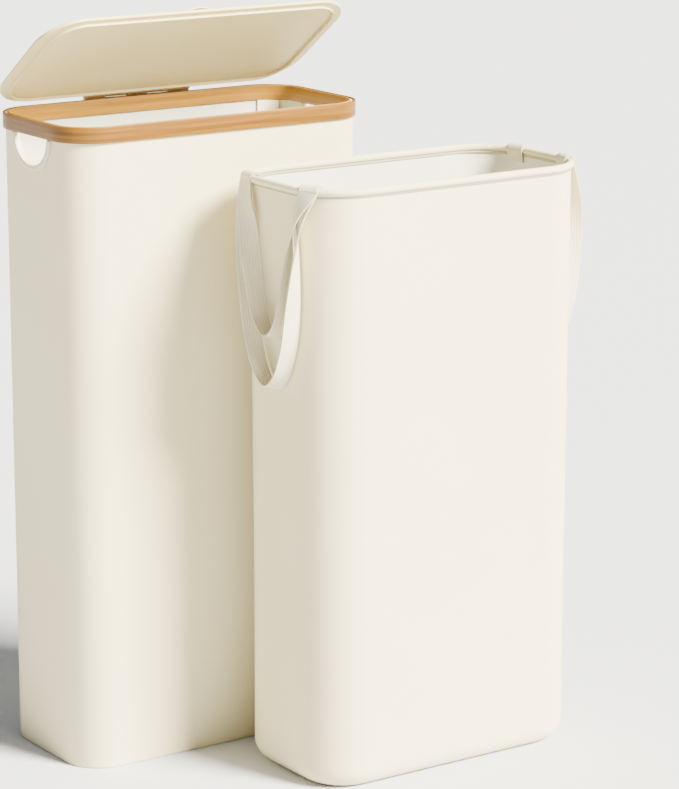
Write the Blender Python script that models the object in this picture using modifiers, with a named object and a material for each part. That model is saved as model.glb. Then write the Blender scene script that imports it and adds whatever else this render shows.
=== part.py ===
"""Slim laundry hamper with a hinged lid and a lift-out liner bag.

The hamper is a tall, narrow bin: a formed wall on a flat base, a bent bamboo rim made of two
hoops that clamp the wall's top edge, and a D-shaped hand opening in each short side. The lid is
a thin moulded panel on a knuckle hinge at the back. The liner is a free-standing fabric bag with
a wire rim in a piped sleeve and a long and a short webbing loop on each short side.

Frame: metres, +Z up, origin on the floor at the centre of the hamper's base. +X runs along the
hamper's long side and -Y is its front. The lid is shown part open, and the bag stands on the
floor in front of the hamper, to the right.
"""

import math

import bmesh
import bpy
from mathutils import Matrix, Vector

# ---------------------------------------------------------------- driving dimensions (metres)
GAP = 0.0003                    # air between pieces that touch
CORNER_STEPS = 6                # straight segments in a quarter turn of a wall

HAMPER_HEIGHT = 0.660           # floor to the top of the rim
HAMPER_LENGTH = 0.347           # wall, outside
HAMPER_DEPTH = 0.167
HAMPER_RADIUS = 0.040
HAMPER_WALL = 0.0018
HAMPER_FOOT_ROUNDING = 0.0015

BASE_THICKNESS = 0.0025
BASE_BOARD_THICKNESS = 0.0030

RIM_HEIGHT = 0.016
OUTER_HOOP = 0.0027             # thickness of the hoop outside the wall
INNER_HOOP = 0.0020             # thickness of the hoop inside the wall
RIM_TOP_RECESS = 0.0012         # the wall's edge lies this far below the hoops' tops

STAY_THICKNESS = 0.0014
STAY_START = math.radians(39)   # a stay's span on the corner's arc, from the short side
STAY_END = math.radians(75)

HAND_HALF_WIDTH = 0.0325        # hand opening: a half ellipse below a straight top
HAND_DROP = 0.029
TRIM_WALL = 0.0013              # sleeve of the hand opening's trim
TRIM_FLANGE = 0.0060
TRIM_PROUD = 0.0020
BACK_RING_THICKNESS = 0.0014

LID_LENGTH = 0.358
LID_DEPTH = 0.166
LID_RADIUS = 0.044
LID_THICKNESS = 0.0035
LID_OPEN = math.radians(35)     # how far the lid stands open
LIP_LENGTH = 0.3348             # the lip that drops inside the rim
LIP_DEPTH = 0.155
LIP_RADIUS = 0.0339
LIP_THICKNESS = 0.0016
LIP_DROP = 0.0030

HINGE_Y = 0.0890                # hinge axis, parallel to X
HINGE_Z = 0.6635
HINGE_TO_LID = 0.0068           # axis to the lid's back edge
HINGE_ABOVE_UNDERSIDE = 0.0030  # axis above the closed lid's underside
HINGE_LENGTH = 0.126
KNUCKLES = 5
KNUCKLE_GAP = 0.0004
BARREL_RADIUS = 0.0028
BORE_RADIUS = 0.00148
PIN_RADIUS = 0.0011
RAIL_THICKNESS = 0.0044
RAIL_BOTTOM = 0.6450
RAIL_TOP = 0.6602
LEAF_THICKNESS = 0.0012
LEAF_REACH = 0.024              # leaf width, measured from the axis
SCREW_PLACES = (-0.050, -0.0175, 0.0175, 0.050)
SCREW_RADIUS = 0.0011
SCREW_HEAD = 0.0022

PULL_LENGTH = 0.060
PULL_ARCH = 0.042
PULL_RISE = 0.0072
PULL_WIDTH = 0.012
PULL_THICKNESS = 0.0018
PULL_FROM_EDGE = 0.018          # strap's centre line to the lid's front edge
STUD_PLACE = 0.0262             # studs, either side of the middle

BAG_X = 0.1506                  # centre of the bag
BAG_Y = -0.1947
BAG_RIM_Z = 0.6065              # centre of the piped rim
BAG_TOP = (0.327, 0.164, 0.053)     # length, depth, corner radius at the rim
BAG_FOOT = (0.320, 0.170, 0.050)    # and above the rounded bottom edge
BAG_WALL = 0.0015
BAG_FILLET = 0.0165
BAG_BASE_TOP = 0.0180           # the dished base's top edge, where the wall stands
BAG_BOARD_THICKNESS = 0.0030
PIPING_RADIUS = 0.00375
PIPING_BORE = 0.0026
PIPING_SLIT = math.radians(28)  # half width of the sewn slit underneath
RIM_WIRE_RADIUS = 0.0015

WEB_WIDTH = 0.020
WEB_THICKNESS = 0.0012
TAB_THICKNESS = 0.0010
TAB_GAP = 0.0003
TAB_INNER_LEG = 0.0165          # below the rim's centre line, inside the bag
TAB_OUTER_LEG = 0.0050
LOOP_MIDDLE = {"left": -0.0055, "right": -0.0010}    # middle of the loops, from the bag's
LOOP_SPREAD = {"left": 0.0465, "right": 0.0395}      # anchors, before and behind that middle
LOOP_FLARE = {"left": 0.0, "right": 0.003}  # extra distance that a loop hangs from the wall

# ---------------------------------------------------------------- worked-out values
WALL_TOP = HAMPER_HEIGHT - RIM_TOP_RECESS
RIM_BOTTOM = HAMPER_HEIGHT - RIM_HEIGHT
BOARD_TOP = BASE_THICKNESS + GAP + BASE_BOARD_THICKNESS
HAND_TOP = RIM_BOTTOM - GAP
LID_BACK = HINGE_Y - HINGE_TO_LID
LID_MIDDLE = LID_BACK - LID_DEPTH / 2
LID_UNDERSIDE = HINGE_Z - HINGE_ABOVE_UNDERSIDE
LID_TOP = LID_UNDERSIDE + LID_THICKNESS

COLOURS = {                     # red, green, blue, roughness, metallic
    "shell": (0.86, 0.83, 0.74, 0.55, 0.0),
    "bamboo": (0.69, 0.42, 0.17, 0.45, 0.0),
    "moulded": (0.84, 0.81, 0.72, 0.45, 0.0),
    "steel": (0.62, 0.62, 0.60, 0.35, 1.0),
    "fabric": (0.88, 0.84, 0.76, 0.90, 0.0),
    "webbing": (0.84, 0.80, 0.72, 0.85, 0.0),
    "board": (0.78, 0.74, 0.66, 0.80, 0.0),
}


# ---------------------------------------------------------------- scene helpers
def clear_scene():
    """Remove whatever the open file holds."""
    for obj in list(bpy.data.objects):
        bpy.data.objects.remove(obj, do_unlink=True)


def make_collection(name):
    """Return a new collection linked to the scene."""
    collection = bpy.data.collections.new(name)
    bpy.context.scene.collection.children.link(collection)
    return collection


def own_material(obj, finish):
    """Give an object its own Principled material in one of the finishes."""
    red, green, blue, roughness, metallic = COLOURS[finish]
    material = bpy.data.materials.new(obj.name + "_finish")
    material.use_nodes = True
    shader = material.node_tree.nodes["Principled BSDF"]
    shader.inputs["Base Color"].default_value = (red, green, blue, 1.0)
    shader.inputs["Roughness"].default_value = roughness
    shader.inputs["Metallic"].default_value = metallic
    obj.data.materials.clear()
    obj.data.materials.append(material)


def add_object(name, data, finish):
    """Link a new object that holds the data, with its own material."""
    obj = bpy.data.objects.new(name, data)
    PARTS.objects.link(obj)
    own_material(obj, finish)
    return obj


def add_modifier(obj, kind, **values):
    """Add a modifier and set its values."""
    modifier = obj.modifiers.new(kind.title(), kind)
    for key, value in values.items():
        setattr(modifier, key, value)
    return modifier


def mesh_from_curve(curve_object):
    """Turn a curve object into a mesh object with welded caps, in the same place."""
    bpy.context.view_layer.update()
    graph = bpy.context.evaluated_depsgraph_get()
    mesh = bpy.data.meshes.new_from_object(curve_object.evaluated_get(graph))
    work = bmesh.new()
    work.from_mesh(mesh)
    bmesh.ops.remove_doubles(work, verts=work.verts, dist=0.000005)
    bmesh.ops.recalc_face_normals(work, faces=work.faces)
    work.to_mesh(mesh)
    work.free()
    matrix = curve_object.matrix_world.copy()
    bpy.data.objects.remove(curve_object, do_unlink=True)
    return mesh, matrix


def add_spline(curve, points, closed=True):
    """Add a straight-segment spline through the points."""
    spline = curve.splines.new("POLY")
    spline.points.add(len(points) - 1)
    for slot, point in zip(spline.points, points):
        x, y, z = (*point, 0.0)[:3]
        slot.co = (x, y, z, 1.0)
    spline.use_cyclic_u = closed
    return spline


def plate(name, outlines, thickness, matrix, finish="moulded", collection=None):
    """Make a flat plate: outlines in its own XY plane, from z = 0 up to its thickness."""
    curve = bpy.data.curves.new(name, "CURVE")
    curve.dimensions = "2D"
    curve.fill_mode = "BOTH"
    curve.extrude = thickness / 2
    for outline in outlines:
        add_spline(curve, outline)
    flat = bpy.data.objects.new(name + "_outline", curve)
    PARTS.objects.link(flat)
    flat.matrix_world = matrix @ Matrix.Translation((0, 0, thickness / 2))
    mesh, placed = mesh_from_curve(flat)
    obj = bpy.data.objects.new(name, mesh)
    (collection or PARTS).objects.link(obj)
    obj.matrix_world = placed
    if collection is None:
        own_material(obj, finish)
    return obj


def combine(obj, other, operation):
    """Join a cutter or an addition to an object with an exact Boolean."""
    other.hide_render = True
    other.display_type = "WIRE"
    add_modifier(obj, "BOOLEAN", operation=operation, object=other, solver="EXACT")


def rod(name, radius, length, matrix, sides=12):
    """Make a cylinder along its own Z, from z = 0, in the cutters' collection."""
    mesh = bpy.data.meshes.new(name)
    work = bmesh.new()
    bmesh.ops.create_cone(work, cap_ends=True, segments=sides, radius1=radius, radius2=radius,
                          depth=length)
    bmesh.ops.translate(work, verts=work.verts, vec=(0, 0, length / 2))
    work.to_mesh(mesh)
    work.free()
    obj = bpy.data.objects.new(name, mesh)
    CUTTERS.objects.link(obj)
    obj.matrix_world = matrix
    return obj


def turned(name, profile, matrix, finish="steel", steps=10):
    """Turn a profile of (radius, height) points, given from the top down, about its own Z."""
    mesh = bpy.data.meshes.new(name)
    work = bmesh.new()
    corners = [work.verts.new((radius, 0, height)) for radius, height in profile]
    for first, second in zip(corners, corners[1:]):
        work.edges.new((first, second))
    work.to_mesh(mesh)
    work.free()
    obj = add_object(name, mesh, finish)
    obj.matrix_world = matrix
    add_modifier(obj, "SCREW", steps=steps, render_steps=steps, use_merge_vertices=True,
                 merge_threshold=0.00001)
    return obj


# ---------------------------------------------------------------- outlines
def rounded_rectangle(length, depth, radius, steps=CORNER_STEPS):
    """Points round a rectangle with arc corners, anticlockwise from above."""
    points = []
    for x_side, y_side, start in ((1, -1, -90), (1, 1, 0), (-1, 1, 90), (-1, -1, 180)):
        centre_x = x_side * (length / 2 - radius)
        centre_y = y_side * (depth / 2 - radius)
        for step in range(steps + 1):
            angle = math.radians(start + 90 * step / steps)
            points.append((centre_x + radius * math.cos(angle),
                           centre_y + radius * math.sin(angle)))
    return points


def inset(sizes, distance):
    """Shrink a (length, depth, radius) outline by a distance all round."""
    length, depth, radius = sizes
    return length - 2 * distance, depth - 2 * distance, radius - distance


def blend(first, second, share):
    """Mix two (length, depth, radius) outlines."""
    return tuple(a + (b - a) * share for a, b in zip(first, second))


def half_ellipse(half_width, drop, top=0.0, steps=12):
    """A hanging half ellipse with its straight side at the top, in (across, up)."""
    return [(half_width * math.cos(math.pi * step / steps),
             top - drop * math.sin(math.pi * step / steps)) for step in range(steps + 1)]


def u_band(inner_width, inner_drop, width):
    """A U-shaped band round a half ellipse, open at its top, just below the rim."""
    inner = half_ellipse(inner_width, inner_drop, -GAP)
    outer = half_ellipse(inner_width + width, inner_drop + width, -GAP)
    return inner + outer[::-1]


# ---------------------------------------------------------------- shells and rings
def shell(name, levels, thickness, finish, centre=(0, 0), closed_bottom=False):
    """Make a wall from outlines at rising heights, with its thickness inwards."""
    mesh = bpy.data.meshes.new(name)
    work = bmesh.new()
    previous = None
    for height, sizes in levels:
        ring = [work.verts.new((x + centre[0], y + centre[1], height))
                for x, y in rounded_rectangle(*sizes)]
        edges = [work.edges.new((a, b)) for a, b in zip(ring, ring[1:] + ring[:1])]
        if previous:
            bmesh.ops.bridge_loops(work, edges=previous + edges)
        elif closed_bottom:
            work.faces.new(ring)
        previous = edges
    bmesh.ops.recalc_face_normals(work, faces=work.faces)
    lowest = min(work.faces, key=lambda face: face.calc_center_median().z)
    outward = lowest.calc_center_median() - Vector((*centre, levels[-1][0]))
    if lowest.normal.dot(outward) < 0:
        bmesh.ops.reverse_faces(work, faces=work.faces)
    work.to_mesh(mesh)
    work.free()
    obj = add_object(name, mesh, finish)
    add_modifier(obj, "SOLIDIFY", thickness=thickness, offset=-1.0, use_even_offset=True)
    return obj


def swept(name, path, profile, finish, closed_path):
    """Sweep a closed profile of (outwards, up) points along a level path."""
    section = bpy.data.curves.new(name + "_section", "CURVE")
    section.dimensions = "2D"
    add_spline(section, profile)
    section_object = bpy.data.objects.new(name + "_section", section)
    CUTTERS.objects.link(section_object)
    section_object.hide_render = True
    curve = bpy.data.curves.new(name, "CURVE")
    curve.dimensions = "3D"
    curve.twist_mode = "Z_UP"
    curve.bevel_mode = "OBJECT"
    curve.bevel_object = section_object
    curve.use_fill_caps = not closed_path
    add_spline(curve, path, closed_path)
    sweep = bpy.data.objects.new(name + "_path", curve)
    PARTS.objects.link(sweep)
    mesh, matrix = mesh_from_curve(sweep)
    obj = add_object(name, mesh, finish)
    obj.matrix_world = matrix
    return obj


# ---------------------------------------------------------------- the hamper
HAMPER = (HAMPER_LENGTH, HAMPER_DEPTH, HAMPER_RADIUS)
SIDES = {"left": -1, "right": 1}


def on_short_side(side, out):
    """Place a drawing whose X runs across the side and whose Y runs up, facing outwards."""
    sign = SIDES[side]
    turn = Matrix(((0, 0, sign), (sign, 0, 0), (0, 1, 0))).to_4x4()
    return Matrix.Translation((sign * out, 0, HAND_TOP)) @ turn


def make_wall():
    """Formed side wall with a hand opening in each short side and blind of fasteners."""
    foot = inset(HAMPER, HAMPER_FOOT_ROUNDING)
    levels = [(0.0, foot), (HAMPER_FOOT_ROUNDING, HAMPER), (WALL_TOP, HAMPER)]
    wall = shell("hamper_wall", levels, HAMPER_WALL, "shell")
    hole = HAND_HALF_WIDTH + TRIM_WALL + GAP
    drop = HAND_DROP + TRIM_WALL + 2 * GAP
    for side in SIDES:
        reach = 0.012
        cutter = plate("hand_cutter_" + side, [half_ellipse(hole, drop)], reach,
                       on_short_side(side, HAMPER_LENGTH / 2 - reach / 2), collection=CUTTERS)
        combine(wall, cutter, "DIFFERENCE")
    return wall


def make_base():
    """Base panel inside the wall's foot, and the loose board that stiffens it."""
    inside = inset(HAMPER, HAMPER_WALL + HAMPER_FOOT_ROUNDING + GAP)
    plate("base_panel", [rounded_rectangle(*inside)], BASE_THICKNESS, Matrix(), "shell")
    board = inset(HAMPER, HAMPER_WALL + 0.0020)
    plate("base_board", [rounded_rectangle(*board)], BASE_BOARD_THICKNESS,
          Matrix.Translation((0, 0, BASE_THICKNESS + GAP)), "board")


def make_rim():
    """Bamboo hoops outside and inside the wall's top edge."""
    outer = inset(HAMPER, -(GAP + OUTER_HOOP))
    inner = inset(HAMPER, HAMPER_WALL + GAP)
    hoops = {}
    for name, sizes, thickness in (("rim_outer_hoop", outer, OUTER_HOOP),
                                   ("rim_inner_hoop", inner, INNER_HOOP)):
        levels = [(RIM_BOTTOM, sizes), (HAMPER_HEIGHT, sizes)]
        hoops[name] = shell(name, levels, thickness, "bamboo")
    return hoops


def make_stays():
    """A moulded stay on each inner corner, from the base board up to the rim."""
    flats = HAMPER_RADIUS * (1 - math.cos(math.pi / 4 / CORNER_STEPS))
    radius = HAMPER_RADIUS - HAMPER_WALL - GAP - flats
    steps = 5
    angles = [STAY_START + (STAY_END - STAY_START) * step / steps for step in range(steps + 1)]
    outer = [(radius * math.cos(angle), radius * math.sin(angle)) for angle in angles]
    inner_radius = radius - STAY_THICKNESS
    inner = [(inner_radius * math.cos(angle), inner_radius * math.sin(angle))
             for angle in reversed(angles)]
    bottom = BOARD_TOP + GAP
    for name, x_side, y_side in (("back_right", 1, 1), ("back_left", -1, 1),
                                 ("front_left", -1, -1), ("front_right", 1, -1)):
        centre_x = HAMPER_LENGTH / 2 - HAMPER_RADIUS
        centre_y = HAMPER_DEPTH / 2 - HAMPER_RADIUS
        outline = [(x_side * (centre_x + x), y_side * (centre_y + y)) for x, y in outer + inner]
        plate("corner_stay_" + name, [outline], RIM_BOTTOM - GAP - bottom,
              Matrix.Translation((0, 0, bottom)), "moulded")


def make_hand_trims():
    """Each hand opening's trim: a flanged sleeve, and a ring that holds it from inside."""
    wall_face = HAMPER_LENGTH / 2
    for side in SIDES:
        flange = plate("hand_trim_" + side, [u_band(HAND_HALF_WIDTH, HAND_DROP, TRIM_FLANGE)],
                       TRIM_PROUD, on_short_side(side, wall_face + GAP))
        depth = HAMPER_WALL + BACK_RING_THICKNESS + 3 * GAP
        sleeve = plate("hand_sleeve_" + side, [u_band(HAND_HALF_WIDTH, HAND_DROP, TRIM_WALL)],
                       depth + 0.0005, on_short_side(side, wall_face + GAP - depth),
                       collection=CUTTERS)
        combine(flange, sleeve, "UNION")
        ring_inner = TRIM_WALL + GAP
        plate("hand_ring_" + side,
              [u_band(HAND_HALF_WIDTH + ring_inner, HAND_DROP + ring_inner,
                      TRIM_FLANGE - ring_inner)],
              BACK_RING_THICKNESS,
              on_short_side(side, wall_face - HAMPER_WALL - GAP - BACK_RING_THICKNESS))


# ---------------------------------------------------------------- the hinge and the lid
def across(x):
    """Place a drawing of a hinge section, whose X is depth and Y is height, at a given x."""
    turn = Matrix(((0, 0, 1), (1, 0, 0), (0, 1, 0))).to_4x4()
    return Matrix.Translation((x, 0, 0)) @ turn


def circle(radius, steps=14):
    """Points round a circle about the hinge axis."""
    return [(radius * math.cos(2 * math.pi * step / steps),
             radius * math.sin(2 * math.pi * step / steps)) for step in range(steps)]


def knuckle_spans(fixed):
    """The start of each fixed or moving knuckle along X, and the knuckles' length."""
    pitch = HINGE_LENGTH / KNUCKLES
    first = 0 if fixed else 1
    starts = [-HINGE_LENGTH / 2 + pitch * index for index in range(first, KNUCKLES, 2)]
    return [start + KNUCKLE_GAP / 2 for start in starts], pitch - KNUCKLE_GAP


def make_barrels(obj, fixed, neck):
    """Join the knuckles and their necks to a leaf, bore them for the pin, return the cutters."""
    starts, length = knuckle_spans(fixed)
    axis = Matrix.Translation((0, HINGE_Y, HINGE_Z))
    kind = "fixed" if fixed else "moving"
    cutters = []
    for number, start in enumerate(starts):
        for shape, outline in (("neck", neck), ("barrel", circle(BARREL_RADIUS))):
            piece = plate(f"{kind}_{shape}_{number}", [outline], length, axis @ across(start),
                          collection=CUTTERS)
            combine(obj, piece, "UNION")
            cutters.append(piece)
    bore = plate(kind + "_bore", [circle(BORE_RADIUS)], HINGE_LENGTH + 0.002,
                 axis @ across(-HINGE_LENGTH / 2 - 0.001), collection=CUTTERS)
    combine(obj, bore, "DIFFERENCE")
    return [*cutters, bore]


def screw(name, length, matrix):
    """A countersunk screw that points along its own -Z from its head's flat top."""
    cone = SCREW_HEAD - SCREW_RADIUS
    profile = [(0, 0), (SCREW_HEAD, 0), (SCREW_RADIUS, -cone), (SCREW_RADIUS, -length + 0.0008),
               (0, -length)]
    return turned(name, profile, matrix)


def screw_hole(name, length, matrix):
    """The clearance for a screw, a countersink and a bore, as a cutter."""
    wide = SCREW_HEAD + 0.00035
    narrow = SCREW_RADIUS + 0.00035
    cone = SCREW_HEAD - SCREW_RADIUS
    profile = [(0, 0.0010), (wide, 0.0010), (wide, 0.0), (narrow, -cone),
               (narrow, -length - GAP), (0, -length - GAP)]
    cutter = turned(name, profile, matrix)
    PARTS.objects.unlink(cutter)
    CUTTERS.objects.link(cutter)
    return cutter


def make_hinge_rail(targets):
    """Fixed rail on the back of the rim, with its knuckles and four screws."""
    back_of_rim = HAMPER_DEPTH / 2 + GAP + OUTER_HOOP
    front = back_of_rim + GAP
    back = front + RAIL_THICKNESS
    outline = [(front, RAIL_BOTTOM), (back, RAIL_BOTTOM), (back, RAIL_TOP), (front, RAIL_TOP)]
    rail = plate("hinge_rail", [outline], HINGE_LENGTH, across(-HINGE_LENGTH / 2), "bamboo")
    half = 0.0017
    foot = RAIL_TOP - HINGE_Z
    neck = [(-half, foot - 0.002), (half, foot - 0.002), (half, -0.0019), (-half, -0.0019)]
    make_barrels(rail, True, neck)
    height = (RAIL_BOTTOM + RAIL_TOP) / 2
    length = back - (HAMPER_DEPTH / 2 - HAMPER_WALL - GAP - INNER_HOOP) - 0.0012
    for number, x in enumerate(SCREW_PLACES, 1):
        place = Matrix.Translation((x, back, height)) @ Matrix.Rotation(-math.pi / 2, 4, "X")
        screw(f"rail_screw_{number}", length, place)
        hole = screw_hole(f"rail_hole_{number}", length, place)
        for target in (rail, *targets):
            combine(target, hole, "DIFFERENCE")
    return rail


def make_hinge_pin():
    """Pin through all the knuckles, with a small head at each end."""
    reach = HINGE_LENGTH / 2 + GAP
    head = BARREL_RADIUS - 0.0006
    profile = [(0, reach + 0.0009), (head, reach + 0.0009), (head, reach), (PIN_RADIUS, reach),
               (PIN_RADIUS, -reach), (head, -reach), (head, -reach - 0.0009),
               (0, -reach - 0.0009)]
    turn = Matrix.Rotation(math.pi / 2, 4, "Y")
    return turned("hinge_pin", profile, Matrix.Translation((0, HINGE_Y, HINGE_Z)) @ turn)


def make_lid():
    """Lid panel with its lip, drawn shut; the caller turns it about the hinge."""
    outline = rounded_rectangle(LID_LENGTH, LID_DEPTH, LID_RADIUS)
    lid = plate("lid_panel", [outline], LID_THICKNESS,
                Matrix.Translation((0, LID_MIDDLE, LID_UNDERSIDE)), "moulded")
    lip = (LIP_LENGTH, LIP_DEPTH, LIP_RADIUS)
    ring = [rounded_rectangle(*lip), rounded_rectangle(*inset(lip, LIP_THICKNESS))]
    lip_piece = plate("lid_lip", ring, LIP_DROP + 0.001,
                      Matrix.Translation((0, 0, LID_UNDERSIDE - LIP_DROP)), collection=CUTTERS)
    combine(lid, lip_piece, "UNION")
    return lid, lip_piece


def make_lid_leaf(lid):
    """Moving hinge leaf on top of the lid, with its knuckles and four screws."""
    low = LID_TOP + GAP
    near = HINGE_Y - BARREL_RADIUS - 0.0006
    far = HINGE_Y - LEAF_REACH
    outline = [(far, low), (near, low), (near, low + LEAF_THICKNESS), (far, low + LEAF_THICKNESS)]
    leaf = plate("lid_hinge_leaf", [outline], HINGE_LENGTH - 0.002,
                 across(-HINGE_LENGTH / 2 + 0.001), "bamboo")
    start = near - HINGE_Y - 0.002
    foot = low - HINGE_Z + 0.0001
    head = foot + LEAF_THICKNESS - 0.0002
    tongue = [(start, foot), (-0.0018, foot), (-0.0018, head), (start, head)]
    pieces = [leaf, *make_barrels(leaf, False, tongue)]
    length = LEAF_THICKNESS + GAP + LID_THICKNESS - 0.0012
    for number, x in enumerate(SCREW_PLACES, 1):
        y = HINGE_Y - LEAF_REACH + 0.008
        place = Matrix.Translation((x, y, low + LEAF_THICKNESS))
        pieces.append(screw(f"leaf_screw_{number}", length, place))
        hole = screw_hole(f"leaf_hole_{number}", length, place)
        combine(leaf, hole, "DIFFERENCE")
        combine(lid, hole, "DIFFERENCE")
        pieces.append(hole)
    return pieces


def pull_height(x):
    """Height of the pull strap's underside above the lid at a place along it."""
    if abs(x) >= PULL_ARCH / 2:
        return 0.0
    return PULL_RISE * math.cos(math.pi * x / PULL_ARCH) ** 0.7


def make_pull(lid):
    """Arched pull strap near the lid's front edge, held by a stud at each end."""
    y = LID_BACK - LID_DEPTH + PULL_FROM_EDGE
    base = LID_TOP + GAP
    mesh = bpy.data.meshes.new("lid_pull")
    work = bmesh.new()
    ends = PULL_LENGTH / 2
    places = [-ends] + [PULL_ARCH / 2 * (step - 6) / 6 for step in range(13)] + [ends]
    start = [work.verts.new((places[0], y + side * PULL_WIDTH / 2, base)) for side in (-1, 1)]
    edge = work.edges.new(start)
    for place in places[1:]:
        grown = bmesh.ops.extrude_edge_only(work, edges=[edge])["geom"]
        edge = next(item for item in grown if isinstance(item, bmesh.types.BMEdge))
        for vertex in edge.verts:
            vertex.co.x = place
            vertex.co.z = base + pull_height(place)
    bmesh.ops.recalc_face_normals(work, faces=work.faces)
    if next(iter(work.faces)).normal.z < 0:
        bmesh.ops.reverse_faces(work, faces=work.faces)
    work.to_mesh(mesh)
    work.free()
    pull = add_object("lid_pull", mesh, "moulded")
    add_modifier(pull, "SOLIDIFY", thickness=PULL_THICKNESS, offset=1.0, use_even_offset=True)
    studs = []
    for number, x in enumerate((-STUD_PLACE, STUD_PLACE), 1):
        place = Matrix.Translation((x, y, base + PULL_THICKNESS + GAP))
        shank, head, dome = 0.0012, 0.0030, 0.0012
        length = PULL_THICKNESS + 2 * GAP + LID_THICKNESS - 0.0014
        profile = [(0, dome), (head * 0.6, dome * 0.8), (head, 0), (shank, 0), (shank, -length),
                   (0, -length)]
        studs.append(turned(f"pull_stud_{number}", profile, place, "moulded"))
        hole = rod(f"stud_hole_{number}", shank + 0.00035, length + GAP + 0.001,
                   Matrix.Translation((x, y, base + PULL_THICKNESS + 2 * GAP - length - 2 * GAP)))
        combine(pull, hole, "DIFFERENCE")
        combine(lid, hole, "DIFFERENCE")
        studs.append(hole)
    return [pull, *studs]


def hang_on_hinge(pieces):
    """Parent the lid's pieces to an empty on the hinge axis and turn it to the open pose."""
    axis = bpy.data.objects.new("lid_hinge_axis", None)
    PARTS.objects.link(axis)
    axis.location = (0, HINGE_Y, HINGE_Z)
    bpy.context.view_layer.update()
    for piece in pieces:
        piece.parent = axis
        piece.matrix_parent_inverse = Matrix.Translation((0, -HINGE_Y, -HINGE_Z))
    axis.rotation_euler.x = -LID_OPEN


# ---------------------------------------------------------------- the liner bag
def bag_outline(height):
    """The bag's outline at a height between its rounded foot and its rim."""
    share = (height - BAG_FILLET) / (BAG_RIM_Z - BAG_FILLET)
    return blend(BAG_FOOT, BAG_TOP, share)


def make_bag():
    """Fabric wall, dished base and the loose board that keeps the base flat."""
    centre = (BAG_X, BAG_Y)
    foot = BAG_BASE_TOP + GAP
    top = BAG_RIM_Z - PIPING_RADIUS - GAP
    heights = [foot + (top - foot) * share for share in (0, 0.33, 0.67, 1)]
    shell("liner_wall", [(height, bag_outline(height)) for height in heights], BAG_WALL,
          "fabric", centre)
    levels = []
    for step in range(5):
        angle = math.pi / 2 * step / 4
        levels.append((BAG_FILLET * (1 - math.cos(angle)),
                       inset(BAG_FOOT, BAG_FILLET * (1 - math.sin(angle)))))
    levels.append((BAG_BASE_TOP, BAG_FOOT))
    shell("liner_base", levels, BAG_WALL, "fabric", centre, closed_bottom=True)
    board = inset(BAG_FOOT, BAG_FILLET + 0.001)
    plate("liner_board", [rounded_rectangle(*board)], BAG_BOARD_THICKNESS,
          Matrix.Translation((BAG_X, BAG_Y, BAG_WALL + GAP)), "board")


def rim_path():
    """The line of the bag's rim, anticlockwise from above."""
    return [(BAG_X + x, BAG_Y + y, BAG_RIM_Z) for x, y in rounded_rectangle(*BAG_TOP)]


def arc_points(radius, start, end, steps):
    """Points on an arc of a rim section, in (outwards, up)."""
    return [(radius * math.cos(start + (end - start) * step / steps),
             radius * math.sin(start + (end - start) * step / steps)) for step in range(steps + 1)]


def make_bag_rim():
    """Piped sleeve with a slit underneath, and the rim wire inside it."""
    start = -math.pi / 2 + PIPING_SLIT
    end = 3 * math.pi / 2 - PIPING_SLIT
    section = arc_points(PIPING_RADIUS, start, end, 9) + arc_points(PIPING_BORE, end, start, 7)
    swept("liner_piping", rim_path(), section, "fabric", True)
    wire = [(RIM_WIRE_RADIUS * x / BORE_RADIUS, RIM_WIRE_RADIUS * y / BORE_RADIUS)
            for x, y in circle(BORE_RADIUS, 8)]
    swept("rim_wire", rim_path(), wire, "steel", True)


def rim_stretch(side, along):
    """A short stretch of the rim under a webbing tab, centred at a depth from the bag's middle."""
    length, depth, radius = BAG_TOP
    corners = rounded_rectangle(*BAG_TOP)[CORNER_STEPS + 1:2 * CORNER_STEPS + 2]
    line = [Vector((length / 2, 0)), *(Vector(corner) for corner in corners)]
    start = depth / 2 - radius
    middle = start + radius * math.asin(max(abs(along) - start, 0) / radius)
    low = middle - WEB_WIDTH / 2
    high = middle + WEB_WIDTH / 2
    stretch = []
    walked = 0.0
    for first, second in zip(line, line[1:]):
        step = (second - first).length
        for wanted in (low, high):
            if walked <= wanted < walked + step:
                stretch.append((wanted, first.lerp(second, (wanted - walked) / step)))
        walked += step
        if low < walked < high:
            stretch.append((walked, second))
    places = [place for _, place in sorted(stretch, key=lambda item: item[0])]
    sign = SIDES[side]
    front = math.copysign(1, along)
    points = [(BAG_X + sign * place.x, BAG_Y + front * place.y, BAG_RIM_Z) for place in places]
    return points if sign * front > 0 else points[::-1]


def make_tabs():
    """Webbing tabs sewn inside the bag and turned over its rim, two on each short side."""
    inner = PIPING_RADIUS + TAB_GAP
    outer = inner + TAB_THICKNESS
    over_end = math.radians(205)
    leg = BAG_WALL + 0.0006
    down_inside = [(-leg - TAB_THICKNESS, -0.0066), (-leg - TAB_THICKNESS, -TAB_INNER_LEG),
                   (-leg, -TAB_INNER_LEG), (-leg, -0.0066)]
    section = ([(outer, -TAB_OUTER_LEG)] + arc_points(outer, 0, over_end, 10) + down_inside
               + arc_points(inner, over_end, 0, 8) + [(inner, -TAB_OUTER_LEG)])
    for side in SIDES:
        for place, sign in (("front", -1), ("back", 1)):
            along = LOOP_MIDDLE[side] + sign * LOOP_SPREAD[side]
            swept(f"loop_tab_{side}_{place}", rim_stretch(side, along), section, "webbing", False)


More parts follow.
